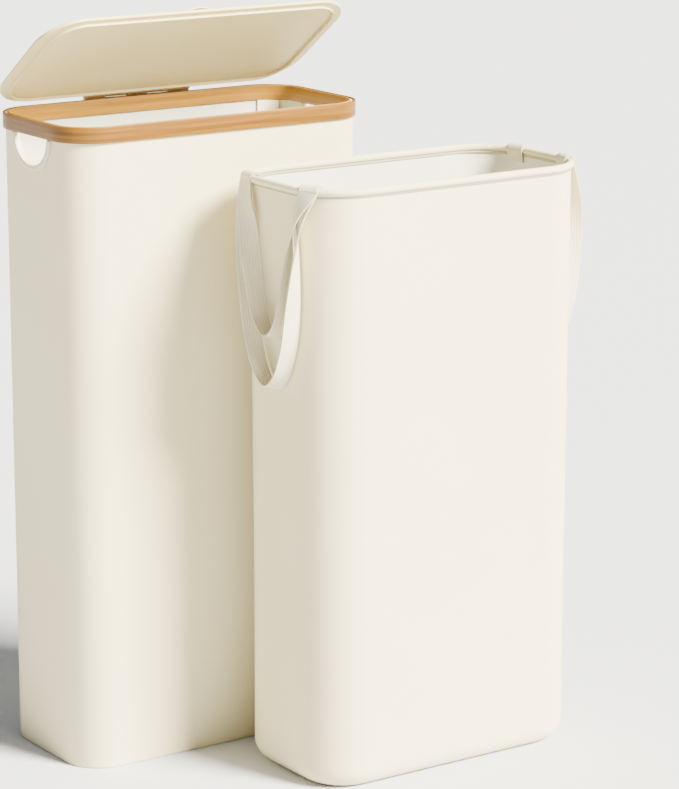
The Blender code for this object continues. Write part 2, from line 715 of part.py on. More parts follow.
# A loop's strand, from its sewn end down to the middle of the U. Each row gives the distance
# outside the bag's side, the distance from the loop's middle as a share of its spread, the drop
# below the rim, the strap's twist in degrees from lying flat, and how far its outer edge rises.
LONG_STRAND = (
    (0.00600, 1.00, 0.0032, 0, 0.00),
    (0.00660, 0.99, 0.0200, 8, 0.00),
    (0.00820, 0.96, 0.0460, 33, 0.00),
    (0.00960, 0.91, 0.0810, 60, 0.00),
    (0.01020, 0.83, 0.1180, 80, 0.05),
    (0.01020, 0.69, 0.1540, 86, 0.10),
    (0.00990, 0.40, 0.1850, 88, 0.20),
    (0.00970, 0.00, 0.1995, 90, 0.28),
)
SHORT_STRAND = (
    (0.00760, 1.00, 0.0032, 0, 0.00),
    (0.00850, 0.93, 0.0180, 8, 0.00),
    (0.00980, 0.80, 0.0400, 36, 0.00),
    (0.01000, 0.72, 0.0700, 66, 0.05),
    (0.01020, 0.60, 0.1050, 83, 0.10),
    (0.00990, 0.36, 0.1360, 88, 0.20),
    (0.00970, 0.00, 0.1495, 90, 0.28),
)


def smooth_line(stations, pieces):
    """A smooth line through stations of equal length, by Catmull-Rom steps."""
    stations = [Vector(station) for station in stations]
    before = 2 * stations[0] - stations[1]
    after = 2 * stations[-1] - stations[-2]
    padded = [before, *stations, after]
    line = []
    for a, b, c, d in zip(padded, padded[1:], padded[2:], padded[3:]):
        for piece in range(pieces):
            t = piece / pieces
            line.append(0.5 * (2 * b + (c - a) * t + (2 * a - 5 * b + 4 * c - d) * t ** 2
                               + (3 * b - a - 3 * c + d) * t ** 3))
    line.append(stations[-1])
    return line


def loop_stations(side, strand):
    """Places and outer-edge directions round a whole loop, front anchor to back anchor."""
    sign = SIDES[side]
    middle = BAG_Y + LOOP_MIDDLE[side]
    half = []
    for out, share, drop, twist, rise in strand:
        flare = LOOP_FLARE[side] * math.sin(math.pi * min(drop / 0.19, 1.0) * 0.75)
        turn = math.radians(twist)
        half.append((BAG_X + sign * (BAG_TOP[0] / 2 + out + flare),
                     middle - share * LOOP_SPREAD[side], BAG_RIM_Z - drop,
                     sign * math.sin(turn), -math.cos(turn), rise))
    back = [(x, 2 * middle - y, z, edge_x, -edge_y, edge_z)
            for x, y, z, edge_x, edge_y, edge_z in reversed(half[:-1])]
    return half + back


def make_loop(name, side, strand):
    """A webbing loop that hangs in a U and turns through half a twist on the way."""
    stations = loop_stations(side, strand)
    places = smooth_line([station[:3] for station in stations], 3)
    edges = smooth_line([station[3:] for station in stations], 3)
    mesh = bpy.data.meshes.new(name)
    work = bmesh.new()
    rows = [[place - edge.normalized() * WEB_WIDTH / 2, place + edge.normalized() * WEB_WIDTH / 2]
            for place, edge in zip(places, edges)]
    edge = work.edges.new([work.verts.new(point) for point in rows[0]])
    for row in rows[1:]:
        grown = bmesh.ops.extrude_edge_only(work, edges=[edge])["geom"]
        edge = next(item for item in grown if isinstance(item, bmesh.types.BMEdge))
        ordered = sorted(edge.verts, key=lambda vertex: (vertex.co - rows[0][0]).length_squared)
        for vertex, point in zip(ordered, row):
            vertex.co = point
        rows[0] = row
    bmesh.ops.recalc_face_normals(work, faces=work.faces)
    work.to_mesh(mesh)
    work.free()
    obj = add_object(name, mesh, "webbing")
    add_modifier(obj, "SOLIDIFY", thickness=WEB_THICKNESS, offset=0.0, use_even_offset=True)
    return obj


def make_loops():
    """A long and a short loop on each short side of the bag."""
    for side in SIDES:
        make_loop(f"long_loop_{side}", side, LONG_STRAND)
        make_loop(f"short_loop_{side}", side, SHORT_STRAND)


# ---------------------------------------------------------------- build
clear_scene()
PARTS = make_collection("laundry_hamper")
CUTTERS = make_collection("cutters")

wall_object = make_wall()
make_base()
hoop_objects = make_rim()
make_stays()
make_hand_trims()
make_hinge_rail([wall_object, *hoop_objects.values()])
make_hinge_pin()
lid_object, lip_object = make_lid()
hang_on_hinge([lid_object, lip_object, *make_lid_leaf(lid_object), *make_pull(lid_object)])
make_bag()
make_bag_rim()
make_tabs()
make_loops()
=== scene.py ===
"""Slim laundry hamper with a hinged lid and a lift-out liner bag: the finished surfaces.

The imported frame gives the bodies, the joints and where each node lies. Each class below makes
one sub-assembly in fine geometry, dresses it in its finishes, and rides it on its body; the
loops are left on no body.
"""

from __future__ import annotations

import logging
import math
from contextlib import contextmanager
from dataclasses import dataclass
from enum import Enum
from typing import Callable, Iterator, Sequence

import bmesh
import bpy
from mathutils import Matrix, Vector

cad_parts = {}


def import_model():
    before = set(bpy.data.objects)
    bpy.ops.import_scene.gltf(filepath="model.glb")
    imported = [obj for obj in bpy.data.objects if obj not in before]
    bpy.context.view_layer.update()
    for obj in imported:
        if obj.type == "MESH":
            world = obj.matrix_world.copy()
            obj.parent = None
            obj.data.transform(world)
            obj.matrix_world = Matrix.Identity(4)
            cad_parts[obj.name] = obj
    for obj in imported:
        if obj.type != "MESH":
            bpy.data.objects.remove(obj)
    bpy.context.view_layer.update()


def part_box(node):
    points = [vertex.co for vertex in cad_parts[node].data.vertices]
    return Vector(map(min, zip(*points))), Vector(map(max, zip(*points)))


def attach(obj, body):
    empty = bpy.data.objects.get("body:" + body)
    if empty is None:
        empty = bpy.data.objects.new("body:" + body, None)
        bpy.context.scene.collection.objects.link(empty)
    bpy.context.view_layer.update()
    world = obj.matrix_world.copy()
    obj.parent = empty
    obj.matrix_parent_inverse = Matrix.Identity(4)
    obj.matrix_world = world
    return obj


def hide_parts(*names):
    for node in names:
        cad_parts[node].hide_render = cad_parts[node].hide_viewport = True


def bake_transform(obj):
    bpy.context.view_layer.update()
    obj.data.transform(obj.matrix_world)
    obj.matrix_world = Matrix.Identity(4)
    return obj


logging.basicConfig(level=logging.INFO, format="%(message)s")
LOG = logging.getLogger("hamper")

MM = 0.001
SIGNS = {"left": -1, "right": 1}
# How much of an edge or a normal must be along Z before it counts as upright or level.
MOSTLY = 0.9
# The hinge's axis runs along X through this place; the lid rests open by these degrees, and its
# back edge lies this far in front of the axis when it is shut.
HINGE_AXIS = (0.0, 0.0890, 0.6635)
LID_OPEN_BY = 35.0
LID_BEFORE_HINGE = 0.0068
UP = Vector((0.0, 0.0, 1.0))

Colour = tuple[float, float, float]


class Body(Enum):
    """The rigid bodies that the pieces ride on."""

    HAMPER = "hamper"
    LID = "lid"
    LINER = "liner"
    LEFT_LOOPS = "left_loops"
    RIGHT_LOOPS = "right_loops"


class Slot(Enum):
    """The record's material slots that the remade pieces use."""

    SHELL = "shell"
    BAMBOO = "bamboo"
    MOULDED = "moulded"
    STEEL = "steel"
    FABRIC = "fabric"
    WEBBING = "webbing"


# ------------------------------------------------------------------------------ edit tools
def deselect_all() -> None:
    """Leave nothing selected, in object mode."""
    if bpy.context.object and bpy.context.object.mode != "OBJECT":
        bpy.ops.object.mode_set(mode="OBJECT")
    bpy.ops.object.select_all(action="DESELECT")


def activate(piece: bpy.types.Object) -> None:
    """Make one object the only one selected, and the active one."""
    deselect_all()
    piece.select_set(True)
    bpy.context.view_layer.objects.active = piece


@contextmanager
def editing(piece: bpy.types.Object, kind: str = "EDGE") -> Iterator[None]:
    """Hold an object in edit mode with nothing selected.

    Args:
        piece: The object to edit.
        kind: The selection mode, VERT, EDGE or FACE.
    """
    activate(piece)
    bpy.ops.object.mode_set(mode="EDIT")
    bpy.ops.mesh.select_mode(type=kind)
    bpy.ops.mesh.select_all(action="DESELECT")
    yield
    bpy.ops.object.mode_set(mode="OBJECT")


def pick(piece: bpy.types.Object, kind: str, test: Callable[..., bool]) -> int:
    """Select what passes a test, on an object in edit mode.

    Args:
        piece: The object being edited.
        kind: Which elements are tested: verts, edges or faces.
        test: Takes an element and says whether it is wanted.

    Returns:
        How many elements are selected.
    """
    work = bmesh.from_edit_mesh(piece.data)
    found = [item for item in getattr(work, kind) if test(item)]
    for item in found:
        item.select_set(True)
    bmesh.update_edit_mesh(piece.data)
    return len(found)


def fix_place(piece: bpy.types.Object) -> bpy.types.Object:
    """Move an object's place, turn and scale into its mesh."""
    activate(piece)
    bpy.ops.object.transform_apply(location=True, rotation=True, scale=True)
    return piece


def added(name: str) -> bpy.types.Object:
    """Name the primitive that was just added, and move its place into its mesh."""
    piece = bpy.context.active_object
    piece.name = name
    return fix_place(piece)


def finish_with(piece: bpy.types.Object, kind: str, **values: object) -> None:
    """Add a modifier, set its values and apply it."""
    activate(piece)
    modifier = piece.modifiers.new(kind.title(), kind)
    for key, value in values.items():
        setattr(modifier, key, value)
    bpy.ops.object.modifier_apply(modifier=modifier.name)


def thicken(piece: bpy.types.Object, thickness: float, offset: float = -1.0,
            even: bool = True) -> None:
    """Give an open surface a wall; an offset of -1 grows it inwards."""
    finish_with(piece, "SOLIDIFY", thickness=thickness, offset=offset, use_even_offset=even)


def soften(piece: bpy.types.Object, width: float, segments: int = 2, angle: float = 50.0) -> None:
    """Round the edges that are sharper than an angle in degrees."""
    finish_with(piece, "BEVEL", width=width, segments=segments, limit_method="ANGLE",
                angle_limit=math.radians(angle), use_clamp_overlap=True)


def cut(piece: bpy.types.Object, cutter: bpy.types.Object) -> None:
    """Cut a piece with another, which is then removed."""
    finish_with(piece, "BOOLEAN", operation="DIFFERENCE", object=cutter, solver="EXACT")
    bpy.data.objects.remove(cutter, do_unlink=True)


def smooth(piece: bpy.types.Object, angle: float = 35.0) -> None:
    """Shade an object smooth up to an angle in degrees."""
    activate(piece)
    bpy.ops.object.shade_smooth_by_angle(angle=math.radians(angle))


def resize_about(piece: bpy.types.Object, value: Sequence[float],
                 centre: Sequence[float]) -> None:
    """Scale a whole mesh about a place."""
    with editing(piece, "VERT"):
        bpy.ops.mesh.select_all(action="SELECT")
        bpy.ops.transform.resize(value=value, center_override=centre)


def subdivide(piece: bpy.types.Object, test: Callable[..., bool], cuts: int) -> None:
    """Divide the edges that pass a test."""
    with editing(piece):
        pick(piece, "edges", test)
        bpy.ops.mesh.subdivide(number_cuts=cuts)


def tidy_normals(piece: bpy.types.Object) -> None:
    """Merge doubled points and turn every face outwards."""
    with editing(piece, "VERT"):
        bpy.ops.mesh.select_all(action="SELECT")
        bpy.ops.mesh.remove_doubles(threshold=0.000005)
        bpy.ops.mesh.normals_make_consistent(inside=False)


def join(name: str, pieces: Sequence[bpy.types.Object]) -> bpy.types.Object:
    """Join several objects into one and name it."""
    activate(pieces[0])
    for piece in pieces[1:]:
        piece.select_set(True)
    bpy.ops.object.join()
    pieces[0].name = name
    return pieces[0]


def copy_of(piece: bpy.types.Object, name: str, matrix: Matrix) -> bpy.types.Object:
    """Copy an object with its own mesh, moved by a matrix that is applied to the mesh."""
    twin = piece.copy()
    twin.data = piece.data.copy()
    twin.name = name
    bpy.context.collection.objects.link(twin)
    twin.data.transform(matrix)
    if matrix.determinant() < 0:
        twin.data.flip_normals()
    return twin


@dataclass(frozen=True)
class Outline:
    """A rectangle with arc corners, seen from above."""

    length: float
    depth: float
    radius: float

    def inset(self, distance: float) -> Outline:
        """Return the outline shrunk by a distance all round."""
        return Outline(self.length - 2 * distance, self.depth - 2 * distance,
                       self.radius - distance)

    def rim_point(self, distance: float) -> tuple[Vector, float]:
        """Walk from the middle of a short side along the outline, and round its corner.

        Args:
            distance: The distance walked, positive.

        Returns:
            The place as (outwards from the middle, across), and the angle turned.
        """
        straight = self.depth / 2 - self.radius
        turn = max(distance - straight, 0.0) / self.radius
        out = self.length / 2 - self.radius * (1 - math.cos(turn))
        across = min(distance, straight) + self.radius * math.sin(turn)
        return Vector((out, across)), turn


def is_upright(edge: bmesh.types.BMEdge) -> bool:
    """Say whether an edge runs up and down."""
    run = edge.verts[0].co - edge.verts[1].co
    return abs(run.z) > MOSTLY * run.length


def is_level(edge: bmesh.types.BMEdge) -> bool:
    """Say whether an edge's two ends are at one height."""
    return abs(edge.verts[0].co.z - edge.verts[1].co.z) < 0.1 * MM


def is_level_face(face: bmesh.types.BMFace) -> bool:
    """Say whether a face looks straight up or down."""
    return abs(face.normal.z) > MOSTLY


def rounded_block(name: str, outline: Outline, low: float, high: float,
                  centre: tuple[float, float] = (0.0, 0.0), segments: int = 16,
                  foot: Outline | None = None) -> bpy.types.Object:
    """Make a block with arc corners, from a cube whose upright edges are rounded.

    Args:
        name: The object's name.
        outline: Its outline, at the top where a foot is given.
        low: Its underside.
        high: Its top.
        centre: The middle of its outline.
        segments: Steps in each corner.
        foot: Its outline at the bottom, if it tapers.

    Returns:
        The closed block.
    """
    deselect_all()
    bpy.ops.mesh.primitive_cube_add(size=1.0, location=(*centre, (low + high) / 2))
    block = bpy.context.active_object
    block.name = name
    block.scale = (outline.length, outline.depth, high - low)
    fix_place(block)
    radius = outline.radius
    if foot:
        radius = (outline.radius + foot.radius) / 2
        with editing(block, "VERT"):
            pick(block, "verts", lambda vert: vert.co.z < (low + high) / 2)
            bpy.ops.transform.resize(value=(foot.length / outline.length,
                                            foot.depth / outline.depth, 1.0),
                                     center_override=(*centre, low))
    with editing(block):
        pick(block, "edges", is_upright)
        bpy.ops.mesh.bevel(offset=radius, segments=segments, profile=0.5, affect="EDGES",
                           clamp_overlap=False)
    return block


def open_ends(piece: bpy.types.Object, top: bool = True, bottom: bool = True) -> None:
    """Take away the level faces at a block's top, bottom or both."""
    with editing(piece, "FACE"):
        pick(piece, "faces", lambda face: is_level_face(face)
             and (top if face.normal.z > 0 else bottom))
        bpy.ops.mesh.delete(type="FACE")


def cylinder(name: str, radius: float, length: float, place: Vector, axis: str = "Z",
             sides: int = 32) -> bpy.types.Object:
    """Make a capped cylinder centred at a place, along X, Y or Z."""
    deselect_all()
    turn = {"X": (0.0, math.pi / 2, 0.0), "Y": (math.pi / 2, 0.0, 0.0), "Z": (0.0, 0.0, 0.0)}
    bpy.ops.mesh.primitive_cylinder_add(vertices=sides, radius=radius, depth=length,
                                        location=place, rotation=turn[axis])
    return added(name)


def box(name: str, low: Sequence[float], high: Sequence[float]) -> bpy.types.Object:
    """Make a block between two corners, as the start of a piece or a cutter."""
    deselect_all()
    middle = [(a + b) / 2 for a, b in zip(low, high)]
    bpy.ops.mesh.primitive_cube_add(size=1.0, location=middle)
    piece = bpy.context.active_object
    piece.name = name
    piece.scale = [b - a for a, b in zip(low, high)]
    return fix_place(piece)


def unwrap_round(piece: bpy.types.Object, centre: tuple[float, float], outline: Outline) -> None:
    """Lay a UV map round a wall: metres along its outline across, and height up.

    Args:
        piece: The wall.
        centre: The middle of its outline.
        outline: The outline that the distance is measured along.
    """
    layer = piece.data.uv_layers.get("UVMap") or piece.data.uv_layers.new(name="UVMap")
    half_x = outline.length / 2 - outline.radius
    half_y = outline.depth / 2 - outline.radius
    arc = outline.radius * math.pi / 2

    def along(x: float, y: float) -> float:
        """Distance round a quarter of the outline, from the middle of a short side."""
        if x > half_x and y > half_y:
            return half_y + outline.radius * math.atan2(y - half_y, x - half_x)
        if y <= half_y and x > half_x:
            return y
        return half_y + arc + (half_x - x)

    quarter = half_x + half_y + arc
    for polygon in piece.data.polygons:
        for loop in polygon.loop_indices:
            point = piece.data.vertices[piece.data.loops[loop].vertex_index].co
            x = point.x - centre[0]
            y = point.y - centre[1]
            distance = along(abs(x), abs(y))
            if x < 0:
                distance = 2 * quarter - distance
            if y < 0:
                distance = -distance
            layer.data[loop].uv = (distance, point.z)


# ------------------------------------------------------------------------------ finishes
Socket = bpy.types.NodeSocket
Tree = bpy.types.NodeTree
# A Mix node has sockets of the same names for each kind of data; these are the colour ones.
COLOUR_A = 6
COLOUR_B = 7
MIXED_COLOUR = 2


def add_node(tree: Tree, kind: str, **values: object) -> bpy.types.Node:
    """Add a shader node; each value is a property, or the default of an input socket."""
    node = tree.nodes.new("ShaderNode" + kind)
    for key, value in values.items():
        if hasattr(node, key):
            setattr(node, key, value)
        else:
            node.inputs[key.replace("_", " ")].default_value = value
    return node


def group_tree(name: str, inputs: dict[str, tuple[str, object]],
               outputs: dict[str, str]) -> tuple[Tree, bpy.types.Node, bpy.types.Node]:
    """Start a shader node group with named sockets.

    Args:
        name: The group's name.
        inputs: Socket name to its type and default.
        outputs: Socket name to its type.

    Returns:
        The group, its input node and its output node.
    """
    tree = bpy.data.node_groups.new(name, "ShaderNodeTree")
    for label, (kind, default) in inputs.items():
        socket = tree.interface.new_socket(label, in_out="INPUT", socket_type="NodeSocket" + kind)
        if default is not None:
            socket.default_value = default
    for label, kind in outputs.items():
        tree.interface.new_socket(label, in_out="OUTPUT", socket_type="NodeSocket" + kind)
    return tree, tree.nodes.new("NodeGroupInput"), tree.nodes.new("NodeGroupOutput")


def feed(tree: Tree, socket: Socket, value: object) -> None:
    """Feed an input socket: by a link from another socket, or with a fixed value."""
    if isinstance(value, bpy.types.NodeSocket):
        tree.links.new(value, socket)
    else:
        socket.default_value = value


def math_node(tree: Tree, operation: str, first: Socket | float,
              second: Socket | float = 0.0) -> Socket:
    """Add a Math node and return its output."""
    node = tree.nodes.new("ShaderNodeMath")
    node.operation = operation
    feed(tree, node.inputs[0], first)
    feed(tree, node.inputs[1], second)
    return node.outputs[0]


def map_range(tree: Tree, value: Socket, **limits: float) -> Socket:
    """Add a Map Range node and return its output."""
    node = add_node(tree, "MapRange", **limits)
    tree.links.new(value, node.inputs["Value"])
    return node.outputs["Result"]


def mix_colour(tree: Tree, share: Socket, first: Socket, second: Socket | Colour) -> Socket:
    """Mix two colours by a share and return the result; the second may be a fixed one."""
    node = tree.nodes.new("ShaderNodeMix")
    node.data_type = "RGBA"
    feed(tree, node.inputs["Factor"], share)
    feed(tree, node.inputs[COLOUR_A], first)
    feed(tree, node.inputs[COLOUR_B], (*second, 1.0) if isinstance(second, tuple) else second)
    return node.outputs[MIXED_COLOUR]


@dataclass(frozen=True)
class Shade:
    """Node groups that more than one finish uses, built once."""

    mottle: Tree
    weave: Tree
    grain: Tree

    @staticmethod
    def build() -> Shade:
        """Build the three groups."""
        return Shade(Shade.make_mottle(), Shade.make_weave(), Shade.make_grain())

    @staticmethod
    def make_mottle() -> Tree:
        """Soft patches of two tones, and a fine-pored height."""
        tree, start, end = group_tree(
            "Soft mottle",
            {"Vector": ("Vector", None), "Patch scale": ("Float", 6.0),
             "Pore scale": ("Float", 900.0), "Base": ("Color", (0.8, 0.8, 0.8, 1.0)),
             "Shadow": ("Color", (0.7, 0.7, 0.7, 1.0)), "Roughness": ("Float", 0.5),
             "Roughness change": ("Float", 0.08)},
            {"Color": "Color", "Roughness": "Float", "Height": "Float"})
        patches = add_node(tree, "TexNoise", Detail=4.0, Roughness=0.55)
        pores = add_node(tree, "TexNoise", Detail=2.0, Roughness=0.5)
        for node, scale in ((patches, "Patch scale"), (pores, "Pore scale")):
            tree.links.new(start.outputs["Vector"], node.inputs["Vector"])
            tree.links.new(start.outputs[scale], node.inputs["Scale"])
        spread = map_range(tree, patches.outputs["Fac"], From_Min=0.35, From_Max=0.7)
        colour = mix_colour(tree, spread, start.outputs["Base"], start.outputs["Shadow"])
        change = math_node(tree, "MULTIPLY", spread, start.outputs["Roughness change"])
        roughness = math_node(tree, "ADD", start.outputs["Roughness"], change)
        tree.links.new(colour, end.inputs["Color"])
        tree.links.new(roughness, end.inputs["Roughness"])
        tree.links.new(pores.outputs["Fac"], end.inputs["Height"])
        return tree

    @staticmethod
    def make_weave() -> Tree:
        """A plain weave: threads over and under each other, with uneven yarns."""
        tree, start, end = group_tree(
            "Plain weave",
            {"UV": ("Vector", None), "Threads across": ("Float", 1400.0),
             "Threads along": ("Float", 1400.0), "Slub": ("Float", 0.3)},
            {"Height": "Float", "Thread": "Float"})
        split = add_node(tree, "SeparateXYZ")
        tree.links.new(start.outputs["UV"], split.inputs[0])
        waves = []
        for axis, count in (("X", "Threads across"), ("Y", "Threads along")):
            turns = math_node(tree, "MULTIPLY", split.outputs[axis], start.outputs[count])
            waves.append(math_node(tree, "MULTIPLY", turns, math.pi))
        crossings = [math_node(tree, "SINE", wave) for wave in waves]
        lift = math_node(tree, "ABSOLUTE", math_node(tree, "MULTIPLY", *crossings))
        yarn = add_node(tree, "TexNoise", Scale=180.0, Detail=3.0, Roughness=0.6)
        stretch = add_node(tree, "Mapping", Scale=(0.25, 3.0, 1.0))
        tree.links.new(start.outputs["UV"], stretch.inputs["Vector"])
        tree.links.new(stretch.outputs["Vector"], yarn.inputs["Vector"])
        uneven = math_node(tree, "MULTIPLY", yarn.outputs["Fac"], start.outputs["Slub"])
        tree.links.new(math_node(tree, "ADD", lift, uneven), end.inputs["Height"])
        tree.links.new(lift, end.inputs["Thread"])
        return tree

    @staticmethod
    def make_grain() -> Tree:
        """Bamboo: long level fibres, paler and darker strips, and short dark flecks."""
        tree, start, end = group_tree(
            "Bamboo grain",
            {"Vector": ("Vector", None), "Light": ("Color", (0.8, 0.5, 0.2, 1.0)),
             "Dark": ("Color", (0.5, 0.3, 0.1, 1.0)), "Fleck": ("Color", (0.3, 0.15, 0.05, 1.0))},
            {"Color": "Color", "Height": "Float", "Roughness": "Float"})
        layers = []
        for stretch in ((6.0, 6.0, 260.0), (40.0, 40.0, 1900.0)):
            mapping = add_node(tree, "Mapping", Scale=stretch)
            noise = add_node(tree, "TexNoise", Scale=1.0, Detail=5.0, Roughness=0.6)
            tree.links.new(start.outputs["Vector"], mapping.inputs["Vector"])
            tree.links.new(mapping.outputs["Vector"], noise.inputs["Vector"])
            layers.append(noise.outputs["Fac"])
        strips = map_range(tree, layers[0], From_Min=0.36, From_Max=0.66)
        flecks = map_range(tree, layers[1], From_Min=0.60, From_Max=0.72)
        base = mix_colour(tree, strips, start.outputs["Light"], start.outputs["Dark"])
        some = math_node(tree, "MULTIPLY", flecks, 0.45)
        colour = mix_colour(tree, some, base, start.outputs["Fleck"])
        wide = math_node(tree, "MULTIPLY", strips, 0.12)
        tree.links.new(colour, end.inputs["Color"])
        tree.links.new(math_node(tree, "ADD", layers[1], strips), end.inputs["Height"])
        tree.links.new(math_node(tree, "ADD", wide, 0.38), end.inputs["Roughness"])
        return tree


def start_material(name: str) -> tuple[bpy.types.Material, Tree, bpy.types.Node]:
    """Start a material and return it with its tree and its Principled shader."""
    material = bpy.data.materials.new(name)
    material.use_nodes = True
    tree = material.node_tree
    return material, tree, tree.nodes["Principled BSDF"]


def place_group(tree: Tree, group: Tree, **values: object) -> bpy.types.Node:
    """Place a node group in a material; each value or socket feeds the input of its name."""
    node = tree.nodes.new("ShaderNodeGroup")
    node.node_tree = group
    for key, value in values.items():
        feed(tree, node.inputs[key.replace("_", " ")], value)
    return node


def coordinates(tree: Tree, kind: str) -> Socket:
    """Add a Texture Coordinate node and return its Object or UV output."""
    return tree.nodes.new("ShaderNodeTexCoord").outputs[kind]


def lay_mottle(tree: Tree, shader: bpy.types.Node, shade: Shade, base: Colour, shadow: Colour,
               patch_scale: float, pore_scale: float, roughness: float) -> bpy.types.Node:
    """Place the soft mottle and feed its roughness to the shader.

    Args:
        tree: The material's nodes.
        shader: Its Principled shader.
        shade: The shared groups.
        base: The main tone.
        shadow: The tone of its patches.
        patch_scale: How fine the patches are.
        pore_scale: How fine the pores are.
        roughness: The roughness outside the patches.

    Returns:
        The group's node, with its Color and Height still free.
    """
    mottle = place_group(tree, shade.mottle, Vector=coordinates(tree, "Object"),
                         Patch_scale=patch_scale, Pore_scale=pore_scale, Base=(*base, 1.0),
                         Shadow=(*shadow, 1.0), Roughness=roughness)
    tree.links.new(mottle.outputs["Roughness"], shader.inputs["Roughness"])
    return mottle


def shaded(colour: Colour, share: float) -> Colour:
    """Return a colour darkened to a share of itself."""
    return tuple(share * part for part in colour)


def add_bump(tree: Tree, shader: bpy.types.Node, height: Socket, strength: float,
             distance: float) -> None:
    """Feed a height to the shader's normal through a Bump node."""
    bump = add_node(tree, "Bump", Strength=strength, Distance=distance)
    tree.links.new(height, bump.inputs["Height"])
    tree.links.new(bump.outputs["Normal"], shader.inputs["Normal"])


@dataclass(frozen=True)
class SkinFinish:
    """A moulded plastic or a metal, with soft tone changes and a fine-pored skin."""

    name: str
    base: Colour
    shadow: Colour
    roughness: float
    pore_scale: float
    bump: float
    patch_scale: float = 7.0
    bump_depth: float = 0.0002
    metallic: float = 0.0

    def make(self, shade: Shade) -> bpy.types.Material:
        """Build the material."""
        material, tree, shader = start_material(self.name)
        mottle = lay_mottle(tree, shader, shade, self.base, self.shadow, self.patch_scale,
                            self.pore_scale, self.roughness)
        tree.links.new(mottle.outputs["Color"], shader.inputs["Base Color"])
        shader.inputs["Metallic"].default_value = self.metallic
        add_bump(tree, shader, mottle.outputs["Height"], self.bump, self.bump_depth)
        return material


@dataclass(frozen=True)
class BambooFinish:
    """Thinly coated bamboo with its fibres level, along the hoop."""

    name: str
    light: Colour
    dark: Colour
    fleck: Colour = (0.08, 0.03, 0.004)
    coat: float = 0.05
    specular: float = 0.25
    bump: float = 0.25
    bump_depth: float = 0.0002

    def make(self, shade: Shade) -> bpy.types.Material:
        """Build the material."""
        material, tree, shader = start_material(self.name)
        grain = place_group(tree, shade.grain, Vector=coordinates(tree, "Object"),
                            Light=(*self.light, 1.0), Dark=(*self.dark, 1.0),
                            Fleck=(*self.fleck, 1.0))
        tree.links.new(grain.outputs["Color"], shader.inputs["Base Color"])
        tree.links.new(grain.outputs["Roughness"], shader.inputs["Roughness"])
        shader.inputs["Coat Weight"].default_value = self.coat
        shader.inputs["Specular IOR Level"].default_value = self.specular
        add_bump(tree, shader, grain.outputs["Height"], self.bump, self.bump_depth)
        return material


@dataclass(frozen=True)
class ClothFinish:
    """Close plain-woven cloth, on UVs in metres, with painted shade in the gaps between the threads.
    """

    name: str
    base: Colour
    gap: Colour
    threads: float = 1400.0
    bump: float = 0.25
    bump_depth: float = 0.0003
    sheen: float = 0.15
    sheen_roughness: float = 0.5

    def make(self, shade: Shade) -> bpy.types.Material:
        """Build the material."""
        material, tree, shader = start_material(self.name)
        weave = place_group(tree, shade.weave, UV=coordinates(tree, "UV"),
                            Threads_across=self.threads, Threads_along=self.threads)
        mottle = lay_mottle(tree, shader, shade, self.base, shaded(self.base, 0.955),
                            patch_scale=9.0, pore_scale=500.0, roughness=0.88)
        # Painted shade: the gaps between the threads are darkened towards the gap tone.
        depth = map_range(tree, weave.outputs["Thread"], From_Min=0.0, From_Max=0.35, To_Min=0.35,
                          To_Max=0.0)
        tree.links.new(mix_colour(tree, depth, mottle.outputs["Color"], self.gap),
                       shader.inputs["Base Color"])
        shader.inputs["Sheen Weight"].default_value = self.sheen
        shader.inputs["Sheen Roughness"].default_value = self.sheen_roughness
        add_bump(tree, shader, weave.outputs["Height"], self.bump, self.bump_depth)
        return material


@dataclass(frozen=True)
class WebbingFinish:
    """Ribbed webbing: ribs along the strap and fine weft across it, with painted shade in the
    grooves between the ribs.

    Its UVs are 0 to 1 across the strap and metres along it.
    """

    name: str
    base: Colour
    painted_groove_shade: Colour
    ribs: float = 7.0
    wefts_per_metre: float = 900.0
    bump: float = 0.6
    bump_depth: float = 0.0005
    sheen: float = 0.2

    def make(self, shade: Shade) -> bpy.types.Material:
        """Build the material."""
        material, tree, shader = start_material(self.name)
        split = add_node(tree, "SeparateXYZ")
        tree.links.new(coordinates(tree, "UV"), split.inputs[0])
        waves = []
        for axis, count in (("X", self.ribs), ("Y", self.wefts_per_metre)):
            turns = math_node(tree, "MULTIPLY", split.outputs[axis], count * math.pi)
            waves.append(math_node(tree, "ABSOLUTE", math_node(tree, "SINE", turns)))
        rib = math_node(tree, "POWER", waves[0], 0.6)
        height = math_node(tree, "ADD", rib, math_node(tree, "MULTIPLY", waves[1], 0.35))
        mottle = lay_mottle(tree, shader, shade, self.base, shaded(self.base, 0.93),
                            patch_scale=40.0, pore_scale=900.0, roughness=0.75)
        # Painted shade: the grooves between the ribs are darkened.
        depth = map_range(tree, rib, From_Min=0.0, From_Max=0.75, To_Min=0.55, To_Max=0.0)
        tree.links.new(mix_colour(tree, depth, mottle.outputs["Color"], self.painted_groove_shade),
                       shader.inputs["Base Color"])
        shader.inputs["Sheen Weight"].default_value = self.sheen
        add_bump(tree, shader, height, self.bump, self.bump_depth)
        return material


